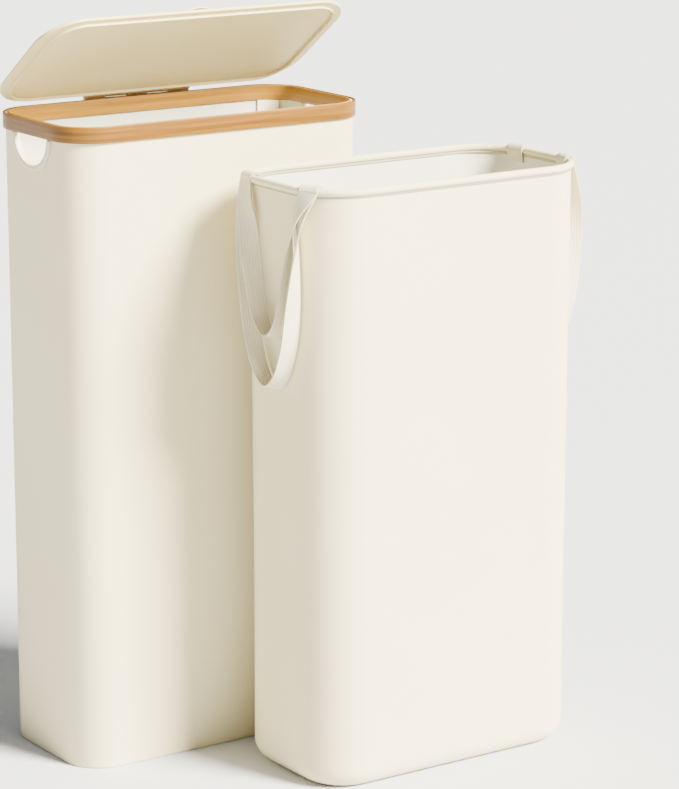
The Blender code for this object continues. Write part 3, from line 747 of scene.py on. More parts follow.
@dataclass(frozen=True)
class SeamAndPaintedShadowFinish:
    """Narrow cloth tape in painted shadow, with one level line of stitches, on UVs in metres."""

    name: str
    tape: Colour
    thread: Colour
    line: float
    stitch: float = 0.0032
    stitch_share: float = 0.72
    half_width: float = 0.0005
    bump: float = 0.5
    bump_depth: float = 0.0003

    def make(self, shade: Shade) -> bpy.types.Material:
        """Build the material."""
        material, tree, shader = start_material(self.name)
        split = add_node(tree, "SeparateXYZ")
        tree.links.new(coordinates(tree, "UV"), split.inputs[0])
        turns = math_node(tree, "DIVIDE", split.outputs["X"], self.stitch)
        dash = math_node(tree, "LESS_THAN", math_node(tree, "FRACT", turns), self.stitch_share)
        away = math_node(tree, "SUBTRACT", split.outputs["Y"], self.line)
        near = math_node(tree, "LESS_THAN", math_node(tree, "ABSOLUTE", away), self.half_width)
        mask = math_node(tree, "MULTIPLY", dash, near)
        # Painted shadow: the tape's dark tone stands for the shade under the piping; the stitch
        # thread is real.
        mottle = lay_mottle(tree, shader, shade, self.tape, shaded(self.tape, 0.9),
                            patch_scale=60.0, pore_scale=1500.0, roughness=0.88)
        tree.links.new(mix_colour(tree, mask, mottle.outputs["Color"], self.thread),
                       shader.inputs["Base Color"])
        pores = math_node(tree, "MULTIPLY", mottle.outputs["Height"], 0.4)
        add_bump(tree, shader, math_node(tree, "ADD", mask, pores), self.bump, self.bump_depth)
        return material


class Palette:
    """All the finishes, built from one set of node groups."""

    def __init__(self) -> None:
        """Build every material once."""
        shade = Shade.build()
        self.shell = SkinFinish("Hamper shell", base=(0.78, 0.70, 0.455), shadow=(0.75, 0.67, 0.43),
                                roughness=0.62, pore_scale=1100.0, bump=0.12).make(shade)
        self.lining = SkinFinish("Hamper lining", base=(0.74, 0.74, 0.63), shadow=(0.71, 0.71, 0.60),
                                 roughness=0.7, pore_scale=1100.0, bump=0.10).make(shade)
        self.moulded = SkinFinish("Lid moulding", base=(0.70, 0.57, 0.275),
                                  shadow=(0.67, 0.54, 0.255), roughness=0.5, pore_scale=1500.0,
                                  bump=0.08).make(shade)
        self.trim = SkinFinish("Pale trim", base=(0.76, 0.69, 0.50), shadow=(0.73, 0.66, 0.47),
                               roughness=0.5, pore_scale=1500.0, bump=0.08).make(shade)
        self.board = SkinFinish("Base board", base=(0.78, 0.74, 0.66), shadow=(0.72, 0.68, 0.60),
                                roughness=0.85, pore_scale=600.0, bump=0.25).make(shade)
        self.steel = SkinFinish("Brushed steel", base=(0.62, 0.61, 0.59), shadow=(0.50, 0.49, 0.47),
                                roughness=0.28, pore_scale=2500.0, bump=0.15, patch_scale=300.0,
                                bump_depth=0.0001, metallic=1.0).make(shade)
        self.bamboo = BambooFinish("Bamboo", light=(0.205, 0.088, 0.004),
                                   dark=(0.10, 0.038, 0.002)).make(shade)
        # The inner hoop's bamboo is paler than the outer one's: painted light, making up for the
        # shade inside the rim.
        self.bamboo_inside_painted_light = BambooFinish("Bamboo inside painted light", light=(0.45, 0.22, 0.022),
                                          dark=(0.27, 0.12, 0.010)).make(shade)
        # The hinge's bamboo is much paler than the band's: painted light, making up for the lid's
        # shadow over the hinge.
        self.strip = BambooFinish("Bamboo strip painted light", light=(0.84, 0.64, 0.33),
                                  dark=(0.74, 0.52, 0.23)).make(shade)
        # Each cloth's gap tone is painted shade between its threads.
        self.cloth = ClothFinish("Liner cloth", base=(0.79, 0.705, 0.46),
                                 gap=(0.62, 0.53, 0.31)).make(shade)
        self.cloth_inside = ClothFinish("Liner cloth inside", base=(0.76, 0.755, 0.64),
                                        gap=(0.60, 0.60, 0.49)).make(shade)
        # The tape's dark tone is painted shadow under the piping; the thread is the stitches' own
        # colour.
        self.seam = SeamAndPaintedShadowFinish("Liner seam tape", tape=(0.34, 0.30, 0.21), thread=(0.62, 0.57, 0.44),
                               line=0.60205).make(shade)
        # The webbing's dark tone between its ribs is painted shade.
        self.webbing = WebbingFinish("Strap webbing", base=(0.76, 0.70, 0.52),
                                     painted_groove_shade=(0.36, 0.31, 0.19)).make(shade)


def dress(piece: bpy.types.Object, material: bpy.types.Material) -> None:
    """Give a piece one material."""
    piece.data.materials.clear()
    piece.data.materials.append(material)


def refinish(node: str, material: bpy.types.Material) -> None:
    """Give a node of the frame that stays in view its finish."""
    surface = bpy.data.objects[node].data.materials
    surface.clear()
    surface.append(material)


def hand_over(piece: bpy.types.Object, body: Body, nodes: Sequence[str] = ()) -> None:
    """Ride a finished piece on its body, and say which nodes it stands for."""
    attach(piece, body.value)
    if nodes:
        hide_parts(*nodes)
    LOG.info("%s rides on %s", piece.name, body.value)


def complete(piece: bpy.types.Object, material: bpy.types.Material, body: Body,
             nodes: Sequence[str] = (), angle: float = 35.0) -> None:
    """Shade a piece smooth up to an angle, dress it and ride it on its body."""
    smooth(piece, angle)
    dress(piece, material)
    hand_over(piece, body, nodes)


# ------------------------------------------------------------------------------ the hamper
@dataclass
class Hamper:
    """The bin: formed wall, base, bamboo rim, corner stays and hand openings."""

    palette: Palette
    wall: Outline = Outline(0.347, 0.167, 0.040)
    wall_thickness: float = 0.0018
    height: float = 0.660
    wall_top: float = 0.6588
    rim_height: float = 0.016
    outer_hoop: float = 0.0027
    inner_hoop: float = 0.0020
    gap: float = 0.0003
    hand_half_width: float = 0.0325
    hand_drop: float = 0.029
    hand_top: float = 0.6437
    trim_wall: float = 0.0013
    trim_flange: float = 0.0060
    trim_proud: float = 0.0020
    trim_inside: float = 0.0029
    foot_round: float = 0.002
    hoop_round: float = 0.0007
    stay_clearance: float = 0.00034
    stay_thickness: float = 0.0014
    stay_arc: tuple[float, float] = (38.5, 75.5)

    def build(self) -> None:
        """Make every part of the bin."""
        self.make_wall()
        self.make_hoops()
        self.make_stays()
        for side in SIGNS:
            self.make_hand_trim(side)
        refinish("base_panel", self.palette.shell)
        refinish("base_board", self.palette.board)

    def hand_cutter(self, side: str, grow: float) -> bpy.types.Object:
        """Make the solid of a hand opening: half a flattened cylinder with a straight top."""
        place = Vector((SIGNS[side] * self.wall.length / 2, 0.0, self.hand_top))
        piece = cylinder("hand_cutter", 1.0, 0.02, place, "X", 96)
        beside = Vector((0.03, 0.2, 0.0))
        above = Vector((0.0, 0.0, 0.2))
        resize_about(piece, (1.0, self.hand_half_width + grow, self.hand_drop + grow), place)
        cut(piece, box("hand_top", place - beside, place + beside + above))
        return piece

    def make_wall(self) -> None:
        """Form the wall, round its foot, cut its hand openings, and line it."""
        shell = rounded_block("hamper_shell", self.wall, 0.0, self.wall_top)
        open_ends(shell, bottom=False)
        soften(shell, self.foot_round, 3)
        open_ends(shell, top=False)
        thicken(shell, self.wall_thickness)
        for side in SIGNS:
            cut(shell, self.hand_cutter(side, self.trim_wall + self.gap))
        dress(shell, self.palette.shell)
        shell.data.materials.append(self.palette.lining)
        inner = self.wall.inset(self.wall_thickness - 0.2 * MM)
        for face in shell.data.polygons:
            place = face.center
            inside = abs(place.x) < inner.length / 2 and abs(place.y) < inner.depth / 2
            facing_in = face.normal.x * place.x + face.normal.y * place.y < 0
            face.material_index = int(inside and facing_in)
        smooth(shell)
        hand_over(shell, Body.HAMPER, ["hamper_wall"])

    def make_hoops(self) -> None:
        """Bend the bamboo hoops outside and inside the wall's top edge."""
        low = self.height - self.rim_height
        for name, outline, thickness, node, wood in (
                ("rim_band_outside", self.wall.inset(-self.gap - self.outer_hoop),
                 self.outer_hoop, "rim_outer_hoop", self.palette.bamboo),
                # The inner hoop wears the paler bamboo, painted light for the shade inside the rim.
                ("rim_band_inside", self.wall.inset(self.wall_thickness + self.gap),
                 self.inner_hoop, "rim_inner_hoop", self.palette.bamboo_inside_painted_light)):
            hoop = rounded_block(name, outline, low, self.height, segments=24)
            open_ends(hoop)
            thicken(hoop, thickness)
            soften(hoop, self.hoop_round, 3)
            complete(hoop, wood, Body.HAMPER, [node])

    def make_stays(self) -> None:
        """Shape one corner stay and copy it to the other corners."""
        radius = self.wall.radius - self.wall_thickness - self.gap - self.stay_clearance
        centre = Vector((self.wall.length / 2 - self.wall.radius,
                         self.wall.depth / 2 - self.wall.radius))
        low, high = (corner[2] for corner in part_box("corner_stay_back_right")[:2])
        start, stop = self.stay_arc
        deselect_all()
        bpy.ops.mesh.primitive_circle_add(vertices=360, radius=radius,
                                          location=(centre.x, centre.y, low))
        stay = added("stay_back_right")
        with editing(stay, "VERT"):
            pick(stay, "verts", lambda vert: not start < math.degrees(
                math.atan2(vert.co.y - centre.y, vert.co.x - centre.x)) < stop)
            bpy.ops.mesh.delete(type="VERT")
        with editing(stay):
            bpy.ops.mesh.select_all(action="SELECT")
            bpy.ops.mesh.extrude_region_move(
                TRANSFORM_OT_translate={"value": (0.0, 0.0, high - low)})
            bpy.ops.mesh.select_all(action="SELECT")
            bpy.ops.mesh.normals_make_consistent(inside=False)
        first = stay.data.polygons[0]
        outwards = first.center - Vector((centre.x, centre.y, first.center.z))
        thicken(stay, self.stay_thickness, -1.0 if first.normal.dot(outwards) > 0 else 1.0)
        tidy_normals(stay)
        soften(stay, 0.4 * MM)
        for name, x_sign, y_sign in (("back_left", -1, 1), ("front_left", -1, -1),
                                     ("front_right", 1, -1), ("back_right", 1, 1)):
            twin = stay if name == "back_right" else copy_of(
                stay, "stay_" + name, Matrix.Diagonal((x_sign, y_sign, 1, 1)))
            complete(twin, self.palette.trim, Body.HAMPER, ["corner_stay_" + name])

    def half_round(self, side: str, near: float, far: float, grow: float,
                   thickness: float) -> bpy.types.Object:
        """Bend a strip into the U under a hand opening.

        Args:
            side: left or right.
            near: The strip's edge nearer the middle of the bin, along X.
            far: Its outer edge.
            grow: How far its inner face stands outside the opening.
            thickness: How thick it is, outwards.

        Returns:
            The strip, with its wall.
        """
        top = self.hand_top - self.gap
        deselect_all()
        bpy.ops.mesh.primitive_cylinder_add(
            vertices=128, radius=1.0, depth=far - near, end_fill_type="NOTHING",
            location=(SIGNS[side] * (near + far) / 2, 0.0, top), rotation=(0.0, math.pi / 2, 0.0))
        strip = added("half_round")
        resize_about(strip, (1.0, self.hand_half_width + grow, self.hand_drop + grow),
                     (0.0, 0.0, top))
        with editing(strip, "VERT"):
            pick(strip, "verts", lambda vert: vert.co.z > top + 0.01 * MM)
            bpy.ops.mesh.delete(type="VERT")
        thicken(strip, thickness, 1.0)
        return strip

    def make_hand_trim(self, side: str) -> None:
        """Mould a hand opening's trim: a sleeve through the wall and a flange outside it."""
        face = self.wall.length / 2 + self.gap
        back = face - self.wall_thickness - self.trim_inside
        sleeve = self.half_round(side, back, face + self.trim_proud, 0.0, self.trim_wall)
        overlap = 0.2 * MM
        flange = self.half_round(side, face, face + self.trim_proud, self.trim_wall - overlap,
                                 self.trim_flange - self.trim_wall)
        soften(sleeve, 0.4 * MM, 2, 40.0)
        soften(flange, 0.8 * MM, 3, 40.0)
        trim = join("hand_rim_" + side, [sleeve, flange])
        complete(trim, self.palette.trim, Body.HAMPER, ["hand_trim_" + side])
        refinish("hand_ring_" + side, self.palette.trim)


# ------------------------------------------------------------------------------ the hinge
@dataclass
class Hinge:
    """The knuckle hinge: fixed rail, moving leaf, pin and screws."""

    palette: Palette
    opened: Matrix
    axis: Vector
    length: float = 0.126
    knuckles: int = 5
    knuckle_gap: float = 0.0004
    barrel: float = 0.0028
    rail_bottom: float = 0.6450
    rail_top: float = 0.6602
    rail_front: float = 0.0868
    rail_thickness: float = 0.0044
    leaf_thickness: float = 0.0012
    leaf_reach: float = 0.024
    barrel_gap: float = 0.0006
    leaf_gap: float = 0.0003
    leaf_shorter: float = 0.001
    web_half: float = 0.0017
    lid_top: float = 0.6640
    pin_radius: float = 0.0011
    pin_proud: float = 0.0003
    pin_head: float = 0.0009
    screw_head: float = 0.0022
    screw_radius: float = 0.0011
    cone_depth: float = 0.0011
    screw_proud: float = 0.0006
    shank_length: float = 0.0042
    recess_half: tuple[float, float] = (0.0013, 0.00025)
    recess_depth: float = 0.0005
    leaf_screw_line: float = 0.008
    screw_places: tuple[float, ...] = (-0.050, -0.0175, 0.0175, 0.050)

    def build(self) -> None:
        """Make the rail, the leaf, the pin and the screws."""
        self.make_rail()
        self.make_leaf()
        self.make_pin()
        self.make_screws()

    def knuckle_starts(self, fixed: bool) -> Iterator[float]:
        """Yield where each fixed or moving knuckle starts, along X."""
        pitch = self.length / self.knuckles
        for index in range(0 if fixed else 1, self.knuckles, 2):
            yield -self.length / 2 + pitch * index + self.knuckle_gap / 2

    @property
    def knuckle(self) -> float:
        """The length of one knuckle."""
        return self.length / self.knuckles - self.knuckle_gap

    def barrels(self, fixed: bool) -> list[bpy.types.Object]:
        """Turn the fixed or the moving knuckles."""
        made = []
        for start in self.knuckle_starts(fixed):
            middle = Vector((start + self.knuckle / 2, self.axis.y, self.axis.z))
            barrel = cylinder("knuckle", self.barrel, self.knuckle, middle, "X", 40)
            soften(barrel, 0.3 * MM)
            made.append(barrel)
        return made

    def webs(self, fixed: bool, low: tuple[float, float],
             high: tuple[float, float]) -> list[bpy.types.Object]:
        """Make the webs that tie the fixed or the moving knuckles to their plate.

        Args:
            fixed: Whether they are the rail's, not the leaf's.
            low: The lowest Y and Z of a web.
            high: The highest Y and Z.

        Returns:
            The webs.
        """
        return [box("web", (start, *low), (start + self.knuckle, *high))
                for start in self.knuckle_starts(fixed)]

    def make_rail(self) -> None:
        """Plane the bamboo rail and join its knuckles."""
        half = self.length / 2
        rail = box("rail", (-half, self.rail_front, self.rail_bottom),
                   (half, self.rail_front + self.rail_thickness, self.rail_top))
        soften(rail, 0.3 * MM)
        webs = self.webs(True, (self.axis.y - self.web_half, self.rail_top - 2.0 * MM),
                         (self.axis.y + self.web_half, self.axis.z - 1.5 * MM))
        whole = join("rail_and_knuckles", [rail, *self.barrels(True), *webs])
        # Its pale bamboo is painted light against the lid's shadow.
        complete(whole, self.palette.strip, Body.HAMPER, ["hinge_rail"])

    def make_leaf(self) -> None:
        """Plane the moving leaf on the lid and join its knuckles."""
        half = self.length / 2 - self.leaf_shorter
        low = self.lid_top + self.leaf_gap
        near = self.axis.y - self.barrel - self.barrel_gap
        leaf = box("leaf", (-half, self.axis.y - self.leaf_reach, low),
                   (half, near, low + self.leaf_thickness))
        soften(leaf, 0.4 * MM)
        webs = self.webs(False, (near - 1.0 * MM, low + 0.1 * MM),
                         (self.axis.y - 1.8 * MM, low + self.leaf_thickness - 0.1 * MM))
        whole = join("leaf_and_knuckles", [leaf, *self.barrels(False), *webs])
        whole.data.transform(self.opened)
        # Its pale bamboo is painted light against the lid's shadow.
        complete(whole, self.palette.strip, Body.LID, ["lid_hinge_leaf"])

    def make_pin(self) -> None:
        """Turn the pin with its small domed heads."""
        reach = self.length / 2 + self.pin_proud
        middle = Vector((0.0, self.axis.y, self.axis.z))
        pin = cylinder("pin", self.pin_radius, 2 * reach, middle, "X", 24)
        heads = []
        for sign in SIGNS.values():
            place = middle + Vector((sign * (reach + self.pin_head / 2), 0.0, 0.0))
            head = cylinder("pin_head", self.barrel - self.barrel_gap, self.pin_head, place, "X")
            soften(head, 0.4 * MM, 3)
            heads.append(head)
        whole = join("hinge_pin_turned", [pin, *heads])
        complete(whole, self.palette.steel, Body.HAMPER, ["hinge_pin"])

    def make_screws(self) -> None:
        """Turn one countersunk screw with a cross recess, and copy it to its places."""
        deselect_all()
        bpy.ops.mesh.primitive_cone_add(vertices=40, radius1=self.screw_radius,
                                        radius2=self.screw_head, depth=self.cone_depth,
                                        location=(0.0, 0.0, -self.cone_depth / 2))
        cone = added("screw_master")
        soften(cone, 0.12 * MM)
        for x, y in (self.recess_half, self.recess_half[::-1]):
            cut(cone, box("recess", (-x, -y, -self.recess_depth), (x, y, 1.0 * MM)))
        sunk = self.cone_depth + self.shank_length / 2 - 0.1 * MM
        shank = cylinder("shank", self.screw_radius, self.shank_length, -sunk * UP, "Z", 20)
        master = join("screw_master", [cone, shank])
        smooth(master)
        back = self.rail_front + self.rail_thickness + self.screw_proud
        height = (self.rail_bottom + self.rail_top) / 2
        for number, x in enumerate(self.screw_places, 1):
            rail_place = (Matrix.Translation((x, back, height))
                          @ Matrix.Rotation(-math.pi / 2, 4, "X"))
            leaf_place = self.opened @ Matrix.Translation(
                (x, self.axis.y - self.leaf_reach + self.leaf_screw_line,
                 self.lid_top + self.leaf_gap + self.leaf_thickness + self.screw_proud))
            for kind, matrix, body in (("rail", rail_place, Body.HAMPER),
                                       ("leaf", leaf_place, Body.LID)):
                screw = copy_of(master, f"{kind}_screw_head_{number}", matrix)
                dress(screw, self.palette.steel)
                hand_over(screw, body, [f"{kind}_screw_{number}"])
        bpy.data.objects.remove(master, do_unlink=True)


# ------------------------------------------------------------------------------ the lid
@dataclass
class Lid:
    """The thin moulded lid with its lip, pull and studs, drawn shut and then opened."""

    palette: Palette
    opened: Matrix
    back: float
    panel: Outline = Outline(0.358, 0.166, 0.044)
    lip: Outline = Outline(0.3348, 0.155, 0.0339)
    underside: float = 0.6605
    thickness: float = 0.0035
    lip_wall: float = 0.0016
    lip_drop: float = 0.0030
    pull_length: float = 0.060
    pull_arch: float = 0.042
    pull_rise: float = 0.0072
    pull_width: float = 0.012
    pull_thickness: float = 0.0018
    pull_from_edge: float = 0.018
    pull_gap: float = 0.0003
    pull_waist: float = 0.10
    pull_crown: float = 0.7
    stud_place: float = 0.0262
    dome_radius: float = 0.0030
    dome_height: float = 0.0012
    shank_radius: float = 0.0012
    shank_length: float = 0.004

    @property
    def pull_line(self) -> float:
        """Where the pull's middle runs along the lid's front edge, in Y."""
        return self.back - self.panel.depth + self.pull_from_edge

    def build(self) -> None:
        """Make the panel, the pull and its studs."""
        self.make_panel()
        self.make_pull()
        self.make_studs()

    def make_panel(self) -> None:
        """Mould the panel and raise the lip that drops inside the rim."""
        middle = self.back - self.panel.depth / 2
        panel = rounded_block("lid_plate", self.panel, self.underside,
                              self.underside + self.thickness, (0.0, middle), 24)
        soften(panel, 1.1 * MM, 4)
        lip = rounded_block("lip", self.lip, self.underside - self.lip_drop,
                            self.underside + 1.0 * MM, segments=24)
        open_ends(lip)
        thicken(lip, self.lip_wall)
        soften(lip, 0.5 * MM)
        whole = join("lid_plate", [panel, lip])
        whole.data.transform(self.opened)
        complete(whole, self.palette.moulded, Body.LID, ["lid_panel"])

    def make_pull(self) -> None:
        """Bend the pull strap into its arch."""
        base = self.underside + self.thickness + self.pull_gap
        deselect_all()
        bpy.ops.mesh.primitive_grid_add(x_subdivisions=60, y_subdivisions=6, size=1.0)
        pull = bpy.context.active_object
        pull.name = "pull_strap"
        for vertex in pull.data.vertices:
            along = vertex.co.x * self.pull_length
            rise = 0.0
            if abs(along) < self.pull_arch / 2:
                arch = math.cos(math.pi * along / self.pull_arch)
                rise = self.pull_rise * arch ** self.pull_crown
            waist = 1.0 - self.pull_waist * math.cos(math.pi * along / self.pull_length) ** 2
            vertex.co = (along, self.pull_line + vertex.co.y * self.pull_width * waist,
                         base + rise)
        thicken(pull, self.pull_thickness, 1.0)
        tidy_normals(pull)
        soften(pull, 0.6 * MM, 3)
        pull.data.transform(self.opened)
        complete(pull, self.palette.moulded, Body.LID, ["lid_pull"], angle=50.0)

    def make_studs(self) -> None:
        """Form the domed studs that hold the pull."""
        top = self.underside + self.thickness + 2 * self.pull_gap + self.pull_thickness
        for number, x in enumerate((-self.stud_place, self.stud_place), 1):
            seat = Vector((x, self.pull_line, top))
            dome = cylinder("dome", self.dome_radius, self.dome_height,
                            seat + UP * (self.dome_height / 2), "Z", 40)
            soften(dome, 0.8 * MM, 4)
            shank = cylinder("stud_shank", self.shank_radius, self.shank_length,
                             seat - UP * (self.shank_length / 2 - 0.1 * MM), "Z", 24)
            stud = join(f"stud_{number}", [dome, shank])
            stud.data.transform(self.opened)
            complete(stud, self.palette.moulded, Body.LID, [f"pull_stud_{number}"])


# ------------------------------------------------------------------------------ the liner
@dataclass
class Liner:
    """The free-standing bag: cloth shell, piped rim and base board."""

    palette: Palette
    centre: tuple[float, float] = (0.1506, -0.1947)
    rim: Outline = Outline(0.327, 0.164, 0.053)
    foot: Outline = Outline(0.320, 0.170, 0.050)
    rim_height: float = 0.6065
    wall: float = 0.0015
    fillet: float = 0.021
    piping: float = 0.00375
    tape: float = 0.0006
    tape_height: float = 0.0030
    tape_lap: float = 0.0008
    slack: float = 0.001

    def build(self) -> None:
        """Make the cloth shell and the piping, and dress the board and the wire."""
        self.make_shell()
        self.make_seam_and_painted_shadow()
        self.make_piping()
        refinish("liner_board", self.palette.board)
        refinish("rim_wire", self.palette.steel)

    def make_shell(self) -> None:
        """Sew the cloth shell: one wall that turns under into the base."""
        shell = rounded_block("liner_cloth", self.rim, 0.0, self.rim_height, self.centre, 14,
                              self.foot)
        open_ends(shell, bottom=False)
        soften(shell, self.fillet, 8, 50.0)
        subdivide(shell, lambda edge: is_upright(edge) and edge.calc_length() > 0.3, 40)
        # The long sides' level edges, along X, and then the short sides', along Y.
        for axis, shortest, cuts in ((0, 0.15, 22), (1, 0.05, 6)):
            subdivide(shell, lambda edge: is_level(edge) and abs(
                edge.verts[0].co[axis] - edge.verts[1].co[axis]) > shortest, cuts)
        self.relax(shell)
        unwrap_round(shell, self.centre, self.rim)
        thicken(shell, self.wall)
        dress(shell, self.palette.cloth)
        shell.data.materials.append(self.palette.cloth_inside)
        for face in shell.data.polygons:
            inwards = Vector((*self.centre, face.center.z)) - face.center
            floor = face.normal.z > 0.5 and face.center.z < 0.1
            face.material_index = int(floor or face.normal.dot(inwards) > 0)
        smooth(shell, 60.0)
        hand_over(shell, Body.LINER, ["liner_wall", "liner_base"])

    def make_seam_and_painted_shadow(self) -> None:
        """Sew the narrow tape that closes the piped sleeve, outside and inside the wall; its dark
        tone is painted shadow under the piping.
        """
        top = self.rim_height - self.piping + self.tape_lap
        for name, outline in (("liner_seam_painted_shadow_outside", self.rim.inset(-self.tape)),
                              ("liner_seam_painted_shadow_inside", self.rim.inset(self.wall))):
            tape = rounded_block(name, outline, top - self.tape_height, top, self.centre, 16)
            open_ends(tape)
            unwrap_round(tape, self.centre, self.rim)
            thicken(tape, self.tape)
            soften(tape, 0.2 * MM)
            complete(tape, self.palette.seam, Body.LINER)

    def relax(self, shell: bpy.types.Object) -> None:
        """Let the cloth go a little uneven between its stiff rim and its base."""
        for vertex in shell.data.vertices:
            point = vertex.co
            share = (point.z - self.fillet) / (self.rim_height - self.fillet)
            if share <= 0.0 or share >= 1.0:
                continue
            hold = math.sin(math.pi * share) ** 0.6
            x = point.x - self.centre[0]
            y = point.y - self.centre[1]
            # Broad swells over the long sides, and a shorter ripple over the short ones.
            wave = (0.45 * math.sin(19.0 * x + 7.0 * point.z + 0.6)
                    * math.sin(8.5 * point.z + 3.0 * x)
                    + 0.25 * math.sin(41.0 * y + 11.0 * point.z))
            out = Vector((x / self.rim.length, y / self.rim.depth, 0.0))
            steep = Vector((math.copysign(abs(out.x) ** 3, out.x),
                            math.copysign(abs(out.y) ** 3, out.y), 0.0))
            if steep.length > 0:
                vertex.co = point - steep.normalized() * (0.5 - 0.5 * wave) * self.slack * hold

    def make_piping(self) -> None:
        """Run the piped sleeve round the rim."""
        deselect_all()
        bpy.ops.mesh.primitive_plane_add(size=1.0, location=(*self.centre, self.rim_height))
        piping = bpy.context.active_object
        piping.name = "liner_rim_piping"
        piping.scale = (self.rim.length, self.rim.depth, 1.0)
        fix_place(piping)
        with editing(piping, "VERT"):
            bpy.ops.mesh.select_all(action="SELECT")
            bpy.ops.mesh.bevel(offset=self.rim.radius, segments=24, profile=0.5,
                               affect="VERTICES", clamp_overlap=False)
        with editing(piping, "FACE"):
            bpy.ops.mesh.select_all(action="SELECT")
            bpy.ops.mesh.delete(type="ONLY_FACE")
        subdivide(piping, lambda edge: edge.calc_length() > 0.02, 30)
        activate(piping)
        bpy.ops.object.convert(target="CURVE")
        piping.data.bevel_depth = self.piping
        piping.data.bevel_resolution = 6
        bpy.ops.object.convert(target="MESH")
        tidy_normals(piping)
        unwrap_round(piping, self.centre, self.rim)
        complete(piping, self.palette.cloth, Body.LINER, ["liner_piping"], angle=60.0)


# ------------------------------------------------------------------------------ the loops
Station = tuple[Vector, Vector]
# The turn of a strap round the piping in degrees, from inside the bag to outside it.
WRAP_ANGLES = (195, 165, 135, 105, 75, 45, 15, -10)


@dataclass(frozen=True)
class Strand:
    """Half a loop, from the rim to the bottom of the U.

    Each row is: distance outside the bag's side, share of the spread, drop below the rim,
    twist in degrees, and how far the outer edge rises.
    """

    name: str
    layer: int
    rows: tuple[tuple[float, float, float, float, float], ...]


LONG_STRAND = Strand("long", 0, (
    (0.0060, 0.99, 0.0240, 9, 0.00),
    (0.0078, 0.96, 0.0460, 33, 0.00),
    (0.0094, 0.91, 0.0810, 60, 0.00),
    (0.0101, 0.83, 0.1180, 80, 0.05),
    (0.0101, 0.69, 0.1540, 86, 0.10),
    (0.0098, 0.40, 0.1850, 88, 0.20),
    (0.0096, 0.00, 0.1995, 90, 0.28)))
SHORT_STRAND = Strand("short", 1, (
    (0.0080, 0.92, 0.0210, 11, 0.00),
    (0.0096, 0.80, 0.0400, 36, 0.00),
    (0.0100, 0.72, 0.0700, 66, 0.05),
    (0.0101, 0.60, 0.1050, 83, 0.10),
    (0.0098, 0.36, 0.1360, 88, 0.20),
    (0.0096, 0.00, 0.1495, 90, 0.28)))


